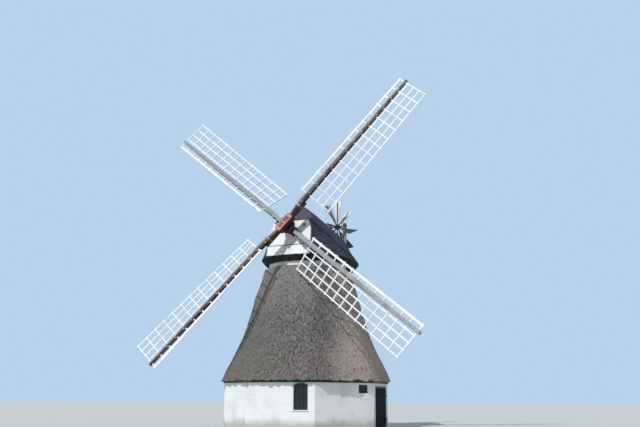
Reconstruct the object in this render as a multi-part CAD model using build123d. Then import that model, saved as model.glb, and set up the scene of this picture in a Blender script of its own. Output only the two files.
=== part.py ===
from build123d import *
import math
import os

# A thatched octagonal smock windmill at its real size, in millimetres.
# The origin is on the axis of the tower at ground level, +Z is up, and the cap, its white
# gable and the four sails face -Y. Bearings round the tower are degrees from -Y towards +X.

# Plan of the tower
FACES = 8
FACE_ANGLE = 360 / FACES
TOWER_TURN = -14.5              # bearing of the corner that starts the first face
WALL_CORNER = 4386              # corner radius of the outside of the base wall
WALL_THICKNESS = 340
WALL_TOP = 2500
FLOOR_THICKNESS = 120
PLATE_WIDTH = 300               # timber wall plate, flush with the outside of the wall
PLATE_HEIGHT = 150
EAVE_BOARD_THICKNESS = 45
EAVE_BOARD_HEIGHT = 110

# Thatched smock: corner radius and height of its outer surface, from the eave to the top
SMOCK_EAVE_CORNER = 4675
SMOCK_EAVE_Z = 2424
SMOCK_LOW_CORNER = 4350
SMOCK_LOW_Z = 3150
SMOCK_FLARE_CORNER = 3650
SMOCK_FLARE_Z = 4550
SMOCK_WAIST_CORNER = 3067
SMOCK_WAIST_Z = 6300
SMOCK_HEAD_CORNER = 2410
SMOCK_HEAD_Z = 8430
SMOCK_BEVEL = 0.975             # radius left at the bevelled corners, as a share of the sharp ones
THATCH = 300

# Curb on the smock and the ring of the cap that turns on it
CURB_OUTER = 2130
CURB_INNER = 1720
CURB_HEIGHT = 470
TURNING_GAP = 0.3               # between the glide blocks and the curb
GLIDE_HEIGHT = 60
GLIDE_COUNT = 12
GLIDE_WIDTH = 260
CAP_RING_HEIGHT = 160
CAP_RING_OUTER = 2200

# Cap: half widths at the bottom, low down and at the shoulder, and heights, at stations along Y
CAP_STATIONS = (-2650, -1300, 0, 1500, 2650, 3700)
CAP_HALF_BOTTOM = (1095, 2200, 2550, 2370, 1890, 880)
CAP_HALF_LOW = (1040, 1880, 2130, 1900, 1430, 640)
CAP_LOW_Z = (9500, 9500, 9500, 9480, 9350, 9120)
CAP_HALF_SHOULDER = (540, 1380, 1520, 1220, 740, 320)
CAP_SHOULDER_Z = (11050, 10450, 10250, 10250, 9960, 9300)
CAP_RIDGE_Z = (12080, 12000, 11900, 11400, 10520, 9480)
CAP_SHELL = 230
GABLE_LEAN = 14.0               # backward lean of the front gable
GABLE_FOOT_Y = -2438
GABLE_THICKNESS = 60
GABLE_TOP_Z = 10860
HIP_SLOPE = 36.0                # the small hip above the gable, from level
HIP_THICKNESS = 140
SHAFT_HOLE_CLEARANCE = 60
SKIRT_FRONT = 2450
SKIRT_SIDE = 2520
SKIRT_REAR = 4100
SKIRT_TAPER = 230               # how far the foot of the skirt stands in from its edge
SKIRT_DROP = 240
SKIRT_THICKNESS = 270

# Windshaft and sails
SHAFT_TILT = 15.8               # rise of the shaft towards the sails
HUB_Y = -3040                   # middle of the front stock
HUB_Z = 10626
SHAFT_NECK = 250
SHAFT_TAIL = 170
SHAFT_LENGTH = 3340             # behind the poll end
SHAFT_NECK_LENGTH = 1500
STOCK_SPACING = 560
STOCK_ANGLE = 51.0              # of the front stock from the level line, at rest
STOCK_LENGTH = 20100
STOCK_WIDTH = 216               # the deep middle timber, through the poll end
STOCK_DEPTH = 320
STOCK_FRONT = -30               # its front face, behind the line of the lattice
STOCK_REACH = 1550              # its end, from the hub
WHIP_ROOT = 1100                # start of the long grey whip bolted on its front
WHIP_WIDTH = 290
WHIP_DEPTH = 230
WHIP_FRONT = 60                 # its front face, ahead of the line of the lattice
WHIP_TIP_WIDTH = 170
WHIP_TIP_DEPTH = 120
SAIL_DISH = 260                 # how far the tips lie ahead of the hub
BAND_OFFSET = 40                # from the foot of the whip
BAND_WIDTH = 70
BAND_THICKNESS = 10
POLL_LENGTH = 900               # each iron box of the poll end, along its stock
POLL_WIDTH = 390
POLL_WALL = 30                  # iron ahead of and behind each stock
POLL_CORE = 390
POLL_BACK = 380                 # end of the poll end behind the rear sails' plane
POLL_RIM = 45
POLL_RECESS = 18
POLL_FLANGE = 40
SAIL_INNER = 1954
SAIL_TIP = 9900
SAIL_BARS = 14
WEATHER_INNER = 22.5
WEATHER_TIP = 3.3
LEAD_WIDTH = 352
TRAIL_FIRST = 248
TRAIL_WIDTH = 1488
TRAIL_RAILS = 4
BAR_WIDTH = 55
BAR_DEPTH = 66
RAIL_WIDTH = 60
RAIL_DEPTH = 34
LEAD_RAIL_WIDTH = 105
LEAD_RAIL_DEPTH = 44
LATH_END = 70                   # how far bars and rails run past each other
LEAD_END = 95                   # how far bars run past the leading rail's middle

# Frame inside the cap
SHEER_SPACING = 1200
SHEER_WIDTH = 260
SHEER_HEIGHT = 300
SHEER_FRONT = -1950
SHEER_REAR = 4420
BEAM_WIDTH = 360
BEAM_HALF_LENGTH = 880
WEATHER_BEAM_Y = -1650
TAIL_BEAM_Y = 200
BEARING_GAP = 0.3

# Fantail
FAN_Y = 4180
FAN_Z = 11720
FAN_RADIUS = 1620
FAN_BLADES = 8
FAN_BLADE_ROOT = 300
FAN_BLADE_ROOT_WIDTH = 110
FAN_BLADE_TIP_WIDTH = 620
FAN_BLADE_THICKNESS = 24
FAN_PITCH = -30
FAN_TURN = -15                  # the whole fantail about the vertical, from square to the cap
FAN_HUB_RADIUS = 150
FAN_HUB_LENGTH = 200
FAN_AXLE_RADIUS = 40
FAN_ARM = 60
FAN_ARM_REACH = 1540
FAN_POST_SPACING = 1100
FAN_POST = 160
FAN_BRACE = 110
FAN_BRACE_TOP_Z = 11250
FAN_BRACE_FOOT_Y = 2500
FAN_BRACE_FOOT_Z = 9520
FAN_UPPER_RAIL_Z = 9940
FAN_LOWER_RAIL_Z = 9560

# Openings in the base wall
WINDOW_BEARINGS = (8, 188)
ARCH_WIDTH = 740
ARCH_SILL_Z = 1000
ARCH_SPRING_Z = 2175
ARCH_RISE = 118
ARCH_OFFSET = 950               # to the right of the middle of the face
SMALL_BEARINGS = (53, 233)
SMALL_WIDTH = 540
SMALL_HEIGHT = 410
SMALL_SILL_Z = 1815
SMALL_OFFSET = 1070
FRAME_WIDTH = 60
FRAME_DEPTH = 90
FRAME_SETBACK = 90
PANE_THICKNESS = 6
DOOR_BEARING = 98
DOOR_WIDTH = 2640
DOOR_TOP_Z = 2180
DOOR_JAMB = 90
DOOR_JAMB_DEPTH = 140
LEAF_THICKNESS = 50
LEAF_GAP = 6
HINGE_STANDOFF = 22             # hinge pins outside the face of the wall
HINGE_PIN_RADIUS = 11
HINGE_PIN_GAP = 0.1
HINGE_EYE_RADIUS = 19
HINGE_EYE_HEIGHT = 80
HINGE_BRACKET_HEIGHT = 30
HINGE_BOSS_RADIUS = 15
HINGE_ARM_WIDTH = 24
HINGE_HEIGHTS = (520, 1720)
STRAP_LENGTH = 860
STRAP_WIDTH = 44
STRAP_THICKNESS = 8

LONG = 30000                    # longer than anything in the model


def corner_cos():
    return math.cos(math.radians(FACE_ANGLE / 2))


def apothem(corner_radius):
    return corner_radius * corner_cos()


def facing(bearing, piece):
    """A piece made facing -Y, carried round the tower to a bearing."""
    return Rot(0, 0, bearing) * piece


def face_bearing(index):
    return TOWER_TURN + FACE_ANGLE * (index + 0.5)


def block(x0, x1, y0, y1, z0, z1):
    """A box by its lowest and highest coordinates."""
    return Pos((x0 + x1) / 2, (y0 + y1) / 2, (z0 + z1) / 2) * Box(x1 - x0, y1 - y0, z1 - z0)


def wedge(top):
    """The sector of the tower that belongs to the face towards -Y."""
    half = math.radians(FACE_ANGLE / 2)
    reach = 8000
    side = reach * math.tan(half)
    outline = Polyline((0, 0), (-side, -reach), (side, -reach), close=True)
    return extrude(make_face(outline), top)


def octagon(corner_radius):
    return Rot(0, 0, TOWER_TURN - 90) * RegularPolygon(corner_radius, FACES)


def octagon_ring(outer_corner, inner_corner, bottom, height):
    ring = octagon(outer_corner) - octagon(inner_corner)
    return Pos(0, 0, bottom) * extrude(ring, height)


def tube(outer, inner, bottom, height):
    ring = Circle(outer) - Circle(inner)
    return Pos(0, 0, bottom) * extrude(ring, height)


# Base wall, floor and openings

def wall_slab():
    outer = apothem(WALL_CORNER)
    slab = block(-WALL_CORNER, WALL_CORNER, -outer, -outer + WALL_THICKNESS, 0, WALL_TOP)
    return slab & wedge(WALL_TOP)


def arch_face(width, sill, spring, rise):
    """Outline of an opening under a segmental arch, standing in the XZ plane."""
    half = width / 2
    base = Polyline((-half, spring), (-half, sill), (half, sill), (half, spring))
    arch = ThreePointArc((half, spring), (0, spring + rise), (-half, spring))
    return Plane.XZ * make_face([*base.edges(), arch])


def through_wall(face, start, depth):
    """A face of the XZ plane turned into a solid that goes inward from the wall's outside."""
    outer = apothem(WALL_CORNER)
    return Pos(0, -outer + start + depth, 0) * extrude(face, depth)


def arch_opening(inset=0):
    outline = arch_face(ARCH_WIDTH - 2 * inset, ARCH_SILL_Z + inset, ARCH_SPRING_Z, ARCH_RISE - inset)
    return Pos(ARCH_OFFSET, 0, 0) * outline


def small_opening(inset=0):
    width = SMALL_WIDTH - 2 * inset
    height = SMALL_HEIGHT - 2 * inset
    middle = SMALL_SILL_Z + SMALL_HEIGHT / 2
    return Plane.XZ * (Pos(SMALL_OFFSET, middle) * Rectangle(width, height))


def window_frame(opening):
    ring = opening(0) - opening(FRAME_WIDTH)
    return through_wall(ring, FRAME_SETBACK, FRAME_DEPTH)


def window_pane(opening):
    start = FRAME_SETBACK + (FRAME_DEPTH - PANE_THICKNESS) / 2
    return through_wall(opening(FRAME_WIDTH), start, PANE_THICKNESS)


def walls():
    """Each face of the base wall; the face with the door is two piers and a lintel."""
    pieces = {}
    for index in range(FACES):
        bearing = face_bearing(index)
        wall = wall_slab()
        if nearest(bearing, WINDOW_BEARINGS):
            wall -= through_wall(arch_opening(), 0, WALL_THICKNESS)
        if nearest(bearing, SMALL_BEARINGS):
            wall -= through_wall(small_opening(), 0, WALL_THICKNESS)
        if nearest(bearing, (DOOR_BEARING,)):
            half = DOOR_WIDTH / 2
            pieces["door_pier_left"] = facing(bearing, wall & block(-LONG, -half, -LONG, 0, 0, LONG))
            pieces["door_pier_right"] = facing(bearing, wall & block(half, LONG, -LONG, 0, 0, LONG))
            over = block(-half, half, -LONG, 0, DOOR_TOP_Z, LONG)
            pieces["door_lintel"] = facing(bearing, wall & over)
        else:
            pieces[f"wall_{index + 1}"] = facing(bearing, wall)
    return pieces


def nearest(bearing, choices):
    """Whether a face is the one that looks towards one of the given bearings."""
    for choice in choices:
        if abs((bearing - choice + 180) % 360 - 180) < FACE_ANGLE / 2:
            return True
    return False


def true_bearing(choice):
    """The exact bearing of the face that looks towards a rough bearing."""
    for index in range(FACES):
        if nearest(face_bearing(index), (choice,)):
            return face_bearing(index)


def floor_slab():
    inner = apothem(WALL_CORNER) - WALL_THICKNESS
    return extrude(octagon(inner / corner_cos()), FLOOR_THICKNESS)


def wall_plate():
    inner = (apothem(WALL_CORNER) - PLATE_WIDTH) / corner_cos()
    return octagon_ring(WALL_CORNER, inner, WALL_TOP, PLATE_HEIGHT)


def eave_board():
    outer = (apothem(WALL_CORNER) + EAVE_BOARD_THICKNESS) / corner_cos()
    bottom = SMOCK_EAVE_Z - EAVE_BOARD_HEIGHT
    return octagon_ring(outer, WALL_CORNER, bottom, EAVE_BOARD_HEIGHT)


def window_parts():
    frames = []
    panes = []
    for choice in WINDOW_BEARINGS:
        frames.append(facing(true_bearing(choice), window_frame(arch_opening)))
        panes.append(facing(true_bearing(choice), window_pane(arch_opening)))
    for choice in SMALL_BEARINGS:
        frames.append(facing(true_bearing(choice), window_frame(small_opening)))
        panes.append(facing(true_bearing(choice), window_pane(small_opening)))
    return frames, panes


def door_frame():
    outer = -apothem(WALL_CORNER)
    half = DOOR_WIDTH / 2
    whole = block(-half, half, outer, outer + DOOR_JAMB_DEPTH, FLOOR_THICKNESS, DOOR_TOP_Z)
    inside = block(-half + DOOR_JAMB, half - DOOR_JAMB, -LONG, 0, 0, DOOR_TOP_Z - DOOR_JAMB)
    return facing(true_bearing(DOOR_BEARING), whole - inside)


def threshold():
    outer = -apothem(WALL_CORNER)
    half = DOOR_WIDTH / 2
    sill = block(-half, half, outer, outer + WALL_THICKNESS, 0, FLOOR_THICKNESS)
    return facing(true_bearing(DOOR_BEARING), sill)


def strap(height):
    """A strap hinge on the right-hand leaf: eye, knuckle and long plate."""
    outer = -apothem(WALL_CORNER)
    jamb = DOOR_WIDTH / 2 - DOOR_JAMB
    eye = Pos(jamb, outer - HINGE_STANDOFF, height) * Cylinder(HINGE_EYE_RADIUS, HINGE_EYE_HEIGHT)
    front = outer - HINGE_STANDOFF - STRAP_THICKNESS / 2
    knuckle = block(jamb - 2 * HINGE_EYE_RADIUS, jamb - LEAF_GAP, front, outer,
                    height - STRAP_WIDTH / 2, height + STRAP_WIDTH / 2)
    plate = block(jamb - STRAP_LENGTH, jamb - LEAF_GAP, outer - STRAP_THICKNESS, outer,
                  height - STRAP_WIDTH / 2, height + STRAP_WIDTH / 2)
    bore_radius = HINGE_PIN_RADIUS + HINGE_PIN_GAP
    bore = Pos(jamb, outer - HINGE_STANDOFF, height) * Cylinder(bore_radius, 2 * HINGE_EYE_HEIGHT)
    return eye + knuckle + plate - bore


def hinge_pin(height):
    """The pin of a right-hand hinge, standing on a bracket fixed to the jamb."""
    outer = -apothem(WALL_CORNER)
    jamb = DOOR_WIDTH / 2 - DOOR_JAMB
    foot = height - HINGE_EYE_HEIGHT / 2 - HINGE_PIN_GAP
    top = height + HINGE_EYE_HEIGHT / 2
    middle = (foot + top) / 2
    axis = outer - HINGE_STANDOFF
    pin = Pos(jamb, axis, middle) * Cylinder(HINGE_PIN_RADIUS, top - foot)
    below = foot - HINGE_BRACKET_HEIGHT
    boss = Pos(jamb, axis, (foot + below) / 2) * Cylinder(HINGE_BOSS_RADIUS, HINGE_BRACKET_HEIGHT)
    front = axis - HINGE_ARM_WIDTH / 2
    end = jamb + DOOR_JAMB * 0.7
    arm = block(jamb, end, front, front + HINGE_ARM_WIDTH, below, foot)
    root = block(jamb + LEAF_GAP, end, front, outer, below, foot)
    return pin + boss + arm + root


def hinge_pins():
    pins = []
    for height in HINGE_HEIGHTS:
        right = hinge_pin(height)
        pins.append(facing(true_bearing(DOOR_BEARING), right))
        pins.append(facing(true_bearing(DOOR_BEARING), mirror(right, Plane.YZ)))
    return pins


def door_leaf(side):
    """One leaf with its strap hinges; side is -1 or 1 for its jamb."""
    outer = -apothem(WALL_CORNER)
    jamb = DOOR_WIDTH / 2 - DOOR_JAMB
    bottom = FLOOR_THICKNESS + LEAF_GAP
    top = DOOR_TOP_Z - DOOR_JAMB - LEAF_GAP
    leaf = block(LEAF_GAP / 2, jamb - LEAF_GAP, outer, outer + LEAF_THICKNESS, bottom, top)
    for height in HINGE_HEIGHTS:
        leaf += strap(height)
    if side < 0:
        leaf = mirror(leaf, Plane.YZ)
    return facing(true_bearing(DOOR_BEARING), leaf)


# Thatched smock

def smock_points():
    """Outer surface at the middle of a face, as (distance from the axis, height)."""
    return [(apothem(corner), height) for corner, height in smock_corners()]


def smock_corners():
    """Outer surface along a sharp corner, as (distance from the axis, height)."""
    return [(SMOCK_EAVE_CORNER, SMOCK_EAVE_Z), (SMOCK_LOW_CORNER, SMOCK_LOW_Z),
            (SMOCK_FLARE_CORNER, SMOCK_FLARE_Z), (SMOCK_WAIST_CORNER, SMOCK_WAIST_Z),
            (SMOCK_HEAD_CORNER, SMOCK_HEAD_Z)]


def smock_bevel(turn):
    """Solid whose curved front takes the sharp corner off the thatch at one side of a face."""
    outside = Spline(*[(-corner * SMOCK_BEVEL, height) for corner, height in smock_corners()])
    top = Line(outside @ 1, (0, SMOCK_HEAD_Z))
    axis = Line(top @ 1, (0, SMOCK_EAVE_Z))
    foot = Line(axis @ 1, outside @ 0)
    section = Plane.YZ * make_face([outside, top, axis, foot])
    return Rot(0, 0, turn) * extrude(section, WALL_CORNER, both=True)


def inward(points, depth):
    """The points moved square to their curve, towards the inside of the tower."""
    moved = []
    for before, point, after in zip(points, points[1:], points[2:]):
        along = Vector(after[0] - before[0], after[1] - before[1]).normalized()
        moved.append((point[0] - along.Y * depth, point[1] + along.X * depth))
    return moved


def smock_panel():
    """One thatched face: its section drawn once and cut at the two corners."""
    outer = smock_points()
    wall = apothem(WALL_CORNER)
    plate_top = WALL_TOP + PLATE_HEIGHT
    head = (outer[-1][0] - THATCH, outer[-1][1])
    inner = [(wall, plate_top), *inward(outer, THATCH), head]
    outside = Spline(*[(-r, z) for r, z in outer])
    inside = Spline(*[(-r, z) for r, z in reversed(inner)])
    top = Line(outside @ 1, inside @ 0)
    back = Line(inside @ 1, (-wall, SMOCK_EAVE_Z))
    butt = Line(back @ 1, outside @ 0)
    section = Plane.YZ * make_face([outside, top, inside, back, butt])
    band = extrude(section, WALL_CORNER, both=True)
    sharp = band & wedge(SMOCK_HEAD_Z)
    return sharp & smock_bevel(FACE_ANGLE / 2) & smock_bevel(-FACE_ANGLE / 2)


# Curb and cap

def curb_top():
    return SMOCK_HEAD_Z + CURB_HEIGHT


def cap_ring_bottom():
    return curb_top() + TURNING_GAP + GLIDE_HEIGHT


def cap_floor():
    return cap_ring_bottom() + CAP_RING_HEIGHT


def glide_blocks():
    blocks = []
    bottom = curb_top() + TURNING_GAP
    middle = (CURB_OUTER + CURB_INNER) / 2
    for index in range(GLIDE_COUNT):
        shape = block(-GLIDE_WIDTH / 2, GLIDE_WIDTH / 2, -middle - 100, -middle + 100,
                      bottom, bottom + GLIDE_HEIGHT)
        blocks.append(facing(360 / GLIDE_COUNT * index, shape))
    return blocks


def cap_section(y, half_bottom, half_low, low_z, half_shoulder, shoulder_z, ridge_z, depth):
    """Cross-section of the cap at one station, taken in all round by a depth."""
    bottom = cap_ring_bottom()
    right = Spline((half_bottom - depth, bottom), (half_low - depth, low_z),
                   (half_shoulder - depth, shoulder_z - depth / 2), (0, ridge_z - 1.3 * depth))
    left = mirror(right, Plane.YZ)
    base = Line(left @ 0, right @ 0)
    plane = Plane(origin=(0, y, 0), x_dir=(1, 0, 0), z_dir=(0, -1, 0))
    return plane * make_face([right, left, base])


def cap_form(depth=0):
    sections = []
    rows = zip(CAP_STATIONS, CAP_HALF_BOTTOM, CAP_HALF_LOW, CAP_LOW_Z, CAP_HALF_SHOULDER,
               CAP_SHOULDER_Z, CAP_RIDGE_Z)
    for y, *shape in rows:
        shift = depth * y / abs(CAP_STATIONS[-1]) if y > 0 else 0
        sections.append(cap_section(y - shift, *shape, depth))
    return loft(sections)


def behind_gable(depth):
    """Everything behind the leaning plane of the gable, from a depth inward."""
    solid = Pos(0, LONG / 2 + depth, 0) * Box(LONG, LONG, 2 * LONG)
    return Pos(0, GABLE_FOOT_Y, cap_ring_bottom()) * Rot(-GABLE_LEAN, 0, 0) * solid


def under_hip(depth):
    """Everything under the plane of the small hip above the gable."""
    rise = GABLE_TOP_Z - cap_ring_bottom()
    edge_y = GABLE_FOOT_Y + rise * math.tan(math.radians(GABLE_LEAN))
    solid = Pos(0, 0, -LONG / 2 - depth) * Box(LONG, LONG, LONG)
    return Pos(0, edge_y, GABLE_TOP_Z) * Rot(HIP_SLOPE, 0, 0) * solid


def shaft_plane(offset=0):
    """Plane square to the windshaft, with its normal towards the front."""
    tilt = math.radians(SHAFT_TILT)
    normal = Vector(0, -math.cos(tilt), math.sin(tilt))
    origin = Vector(0, HUB_Y, HUB_Z) + normal * offset
    return Plane(origin=origin, x_dir=(1, 0, 0), z_dir=normal)


def shaft_bore(radius):
    return shaft_plane(-LONG / 4) * extrude(Circle(radius), LONG / 2)


def cap_shells():
    envelope = cap_form() & behind_gable(0) & under_hip(0)
    inner = envelope & behind_gable(GABLE_THICKNESS)
    gable = envelope - behind_gable(GABLE_THICKNESS) - shaft_bore(SHAFT_NECK + SHAFT_HOLE_CLEARANCE)
    hip = inner - under_hip(HIP_THICKNESS)
    roof = (inner & under_hip(HIP_THICKNESS)) - cap_form(CAP_SHELL)
    for beam in (*sheers(), cap_ring(), *fan_braces()):
        roof -= beam
    return gable, hip, roof


def cap_ring():
    return tube(CAP_RING_OUTER, CURB_INNER, cap_ring_bottom(), CAP_RING_HEIGHT)


def skirt_outline(inset):
    side = SKIRT_SIDE - inset
    rear = EllipticalCenterArc((0, 0), side, SKIRT_REAR - inset, arc_size=180)
    front = EllipticalCenterArc((0, 0), side, SKIRT_FRONT - inset, start_angle=180, arc_size=180)
    return make_face([front, rear])


def skirt():
    """Thatch under the edge of the cap, tapering down towards the curb."""
    top = cap_ring_bottom()
    foot = Pos(0, 0, top - SKIRT_DROP) * skirt_outline(SKIRT_TAPER)
    head = Pos(0, 0, top) * skirt_outline(0)
    outer = loft([foot, head])
    inner = Pos(0, 0, top - SKIRT_DROP) * extrude(skirt_outline(SKIRT_THICKNESS), SKIRT_DROP)
    return outer - inner


def sheers():
    bottom = cap_floor()
    beams = []
    for side in (-1, 1):
        middle = side * SHEER_SPACING / 2
        beams.append(block(middle - SHEER_WIDTH / 2, middle + SHEER_WIDTH / 2,
                           SHEER_FRONT, SHEER_REAR, bottom, bottom + SHEER_HEIGHT))
    return beams


def shaft_height(y):
    """Height of the windshaft's axis where it passes a given Y."""
    return HUB_Z - (y - HUB_Y) * math.tan(math.radians(SHAFT_TILT))


def shaft_beam(y, radius):
    """A beam across the cap that carries the windshaft in a saddle, on two short posts."""
    bottom = cap_floor() + SHEER_HEIGHT
    top = shaft_height(y)
    beam = block(-BEAM_HALF_LENGTH, BEAM_HALF_LENGTH, y - BEAM_WIDTH / 2, y + BEAM_WIDTH / 2, bottom, top)
    return beam - shaft_bore(radius + BEARING_GAP)


# Windshaft, poll end, stocks and sails

def windshaft():
    start = -STOCK_SPACING - POLL_BACK
    neck_end = start - SHAFT_NECK_LENGTH
    neck = shaft_plane(neck_end) * extrude(Circle(SHAFT_NECK), start - neck_end)
    tail_start = start - SHAFT_LENGTH
    tail = shaft_plane(tail_start) * extrude(Circle(SHAFT_TAIL), neck_end - tail_start)
    return neck + tail


def turned(quarter):
    """Angle of one arm of the sails about the shaft."""
    return STOCK_ANGLE + 90 * quarter


def dished(distance):
    """How far ahead of the hub a sail's line lies at a distance along its arm."""
    return SAIL_DISH * distance / (STOCK_LENGTH / 2)


def whip_profile(distance, width, depth):
    """Cross-section of a whip at a distance along local +X."""
    middle = dished(distance) + WHIP_FRONT - depth / 2
    plane = Plane(origin=(distance, 0, middle), x_dir=(0, 1, 0), z_dir=(1, 0, 0))
    return plane * Rectangle(width, depth)


def whip():
    """The long outer timber of one arm, tapering to its tip."""
    return loft([whip_profile(WHIP_ROOT, WHIP_WIDTH, WHIP_DEPTH),
                 whip_profile(STOCK_LENGTH / 2, WHIP_TIP_WIDTH, WHIP_TIP_DEPTH)])


def stock_half():
    """Half a stock along local +X: the deep timber through the poll end and the whip on it."""
    half = STOCK_WIDTH / 2
    return block(0, STOCK_REACH, -half, half, STOCK_FRONT - STOCK_DEPTH, STOCK_FRONT) + whip()


def stock_band():
    """Iron band that holds the foot of a whip to its stock."""
    half = WHIP_WIDTH / 2 + BAND_THICKNESS
    start = WHIP_ROOT + BAND_OFFSET
    front = dished(start) + WHIP_FRONT + BAND_THICKNESS
    back = STOCK_FRONT - STOCK_DEPTH - BAND_THICKNESS
    outer = block(start, start + BAND_WIDTH, -half, half, back, front)
    hollow = STOCK_WIDTH / 2 + BAND_THICKNESS
    split = dished(start) + WHIP_FRONT - WHIP_DEPTH
    for side in (-1, 1):
        y0, y1 = sorted((side * hollow, side * 2 * half))
        outer -= block(start, start + BAND_WIDTH, y0, y1, back, split)
    return outer - stock_half()


def on_arm(quarter, piece):
    """A piece made along local +X, carried to one arm of the sails."""
    offset = -STOCK_SPACING if quarter % 2 else 0
    return shaft_plane(offset) * (Rot(0, 0, turned(quarter)) * piece)


def stock(quarter):
    half = stock_half()
    return on_arm(quarter, half + Rot(0, 0, 180) * half)


def poll_box():
    """Iron box round a stock, open at both ends, flanged, with two recessed panels in front."""
    front = STOCK_FRONT + POLL_WALL
    back = STOCK_FRONT - STOCK_DEPTH - POLL_WALL
    half_length = POLL_LENGTH / 2
    half_width = POLL_WIDTH / 2
    box = block(-half_length, half_length, -half_width, half_width, back, front)
    for side in (-1, 1):
        lip = half_width + POLL_FLANGE / 2
        middle = side * (half_length - POLL_FLANGE / 2)
        box += block(middle - POLL_FLANGE / 2, middle + POLL_FLANGE / 2, -lip, lip,
                     back - POLL_FLANGE / 2, front + POLL_FLANGE / 2)
        near = POLL_RIM / 2
        far = half_length - POLL_FLANGE - POLL_RIM
        x0, x1 = sorted((side * near, side * far))
        box -= block(x0, x1, -half_width + POLL_RIM, half_width - POLL_RIM, front - POLL_RECESS, front)
    return box


def poll_end():
    """Two iron boxes at right angles on a square core that holds the windshaft."""
    core_back = -STOCK_SPACING - POLL_BACK
    core_front = STOCK_FRONT
    core = block(-POLL_CORE / 2, POLL_CORE / 2, -POLL_CORE / 2, POLL_CORE / 2, core_back, core_front)
    body = shaft_plane() * (Rot(0, 0, STOCK_ANGLE) * core)
    body = body + on_arm(0, poll_box()) + on_arm(1, poll_box())
    return body - stock(0) - stock(1)


def lath(start, end, normal, width, depth):
    """A straight square-edged lath from one point to another, with its flat face to a normal."""
    along = (end - start).normalized()
    across = normal.cross(along).normalized()
    plane = Plane(origin=start, x_dir=across, z_dir=along)
    return plane * extrude(Rectangle(width, depth), (end - start).length)


def weather_direction(angle):
    """Unit direction across the sail at a weather angle, leading side positive."""
    turn = math.radians(angle)
    return Vector(0, math.cos(turn), math.sin(turn))


def sail_point(distance, width):
    """A point of the twisted sail surface, along local +X at a width from the stock's axis."""
    share = (distance - SAIL_INNER) / (SAIL_TIP - SAIL_INNER)
    inner = weather_direction(WEATHER_INNER)
    tip = weather_direction(WEATHER_TIP)
    across = inner * (1 - share) + tip * share
    return Vector(distance, 0, dished(distance)) + across * width


def sail_lattice():
    """Bars across and rails along one sail, fused where they cross, on both sides of the stock."""
    normal = Vector(0, 0, 1)
    pitch = (SAIL_TIP - SAIL_INNER) / (SAIL_BARS - 1)
    laths = []
    for index in range(SAIL_BARS):
        distance = SAIL_INNER + pitch * index
        start = sail_point(distance, -TRAIL_WIDTH - LATH_END)
        end = sail_point(distance, LEAD_WIDTH + LEAD_END)
        laths.append(lath(start, end, normal, BAR_WIDTH, BAR_DEPTH))
    rail_pitch = (TRAIL_WIDTH - TRAIL_FIRST) / (TRAIL_RAILS - 1)
    widths = [-TRAIL_FIRST - rail_pitch * index for index in range(TRAIL_RAILS)]
    for width in widths:
        start = sail_point(SAIL_INNER - LATH_END, width)
        end = sail_point(SAIL_TIP + LATH_END, width)
        laths.append(lath(start, end, normal, RAIL_WIDTH, RAIL_DEPTH))
    lead_start = sail_point(SAIL_INNER - LATH_END, LEAD_WIDTH)
    lead_end = sail_point(SAIL_TIP + LATH_END, LEAD_WIDTH)
    laths.append(lath(lead_start, lead_end, normal, LEAD_RAIL_WIDTH, LEAD_RAIL_DEPTH))
    whole = laths[0].fuse(*laths[1:])
    return whole - stock_half()


# Fantail

def fan_placed(piece):
    """A piece of the fantail made square to the cap, turned about the vertical through the fan."""
    return Pos(0, FAN_Y, 0) * (Rot(0, 0, FAN_TURN) * (Pos(0, -FAN_Y, 0) * piece))


def fan_shaft():
    axle = Rot(0, 90, 0) * Cylinder(FAN_AXLE_RADIUS, FAN_POST_SPACING + 2 * FAN_POST)
    hub = Rot(0, 90, 0) * Cylinder(FAN_HUB_RADIUS, FAN_HUB_LENGTH)
    whole = axle + hub
    for index in range(FAN_BLADES):
        arm = Rot(0, 0, FAN_PITCH) * Box(FAN_ARM, FAN_ARM, FAN_ARM_REACH)
        whole += Rot(360 / FAN_BLADES * index, 0, 0) * (Pos(0, 0, FAN_ARM_REACH / 2) * arm)
    return fan_placed(Pos(0, FAN_Y, FAN_Z) * whole)


def fan_blade():
    """One tapered board, pitched on the back of its arm, along local +Z."""
    root = FAN_BLADE_ROOT_WIDTH / 2
    tip = FAN_BLADE_TIP_WIDTH / 2
    outline = Polyline((-root, FAN_BLADE_ROOT), (root, FAN_BLADE_ROOT), (tip, FAN_RADIUS),
                       (-tip, FAN_RADIUS), close=True)
    board = extrude(Plane.XZ * make_face(outline), FAN_BLADE_THICKNESS)
    return Rot(0, 0, FAN_PITCH) * (Pos(0, FAN_ARM / 2 + FAN_BLADE_THICKNESS, 0) * board)


def fan_blades():
    blades = []
    for index in range(FAN_BLADES):
        blade = Rot(360 / FAN_BLADES * index, 0, 0) * fan_blade()
        blades.append(fan_placed(Pos(0, FAN_Y, FAN_Z) * blade))
    return blades


def fan_posts():
    """Two posts from the sheers to the fan's axle, with a bored head each."""
    bottom = cap_floor() + SHEER_HEIGHT
    posts = []
    for side in (-1, 1):
        middle = side * FAN_POST_SPACING / 2
        post = block(middle - FAN_POST / 2, middle + FAN_POST / 2, FAN_Y - FAN_POST / 2,
                     FAN_Y + FAN_POST / 2, bottom, FAN_Z + FAN_POST)
        bore = Pos(0, FAN_Y, FAN_Z) * (Rot(0, 90, 0) * Cylinder(FAN_AXLE_RADIUS + BEARING_GAP, LONG))
        posts.append(fan_placed(post - bore))
    return posts


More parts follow.
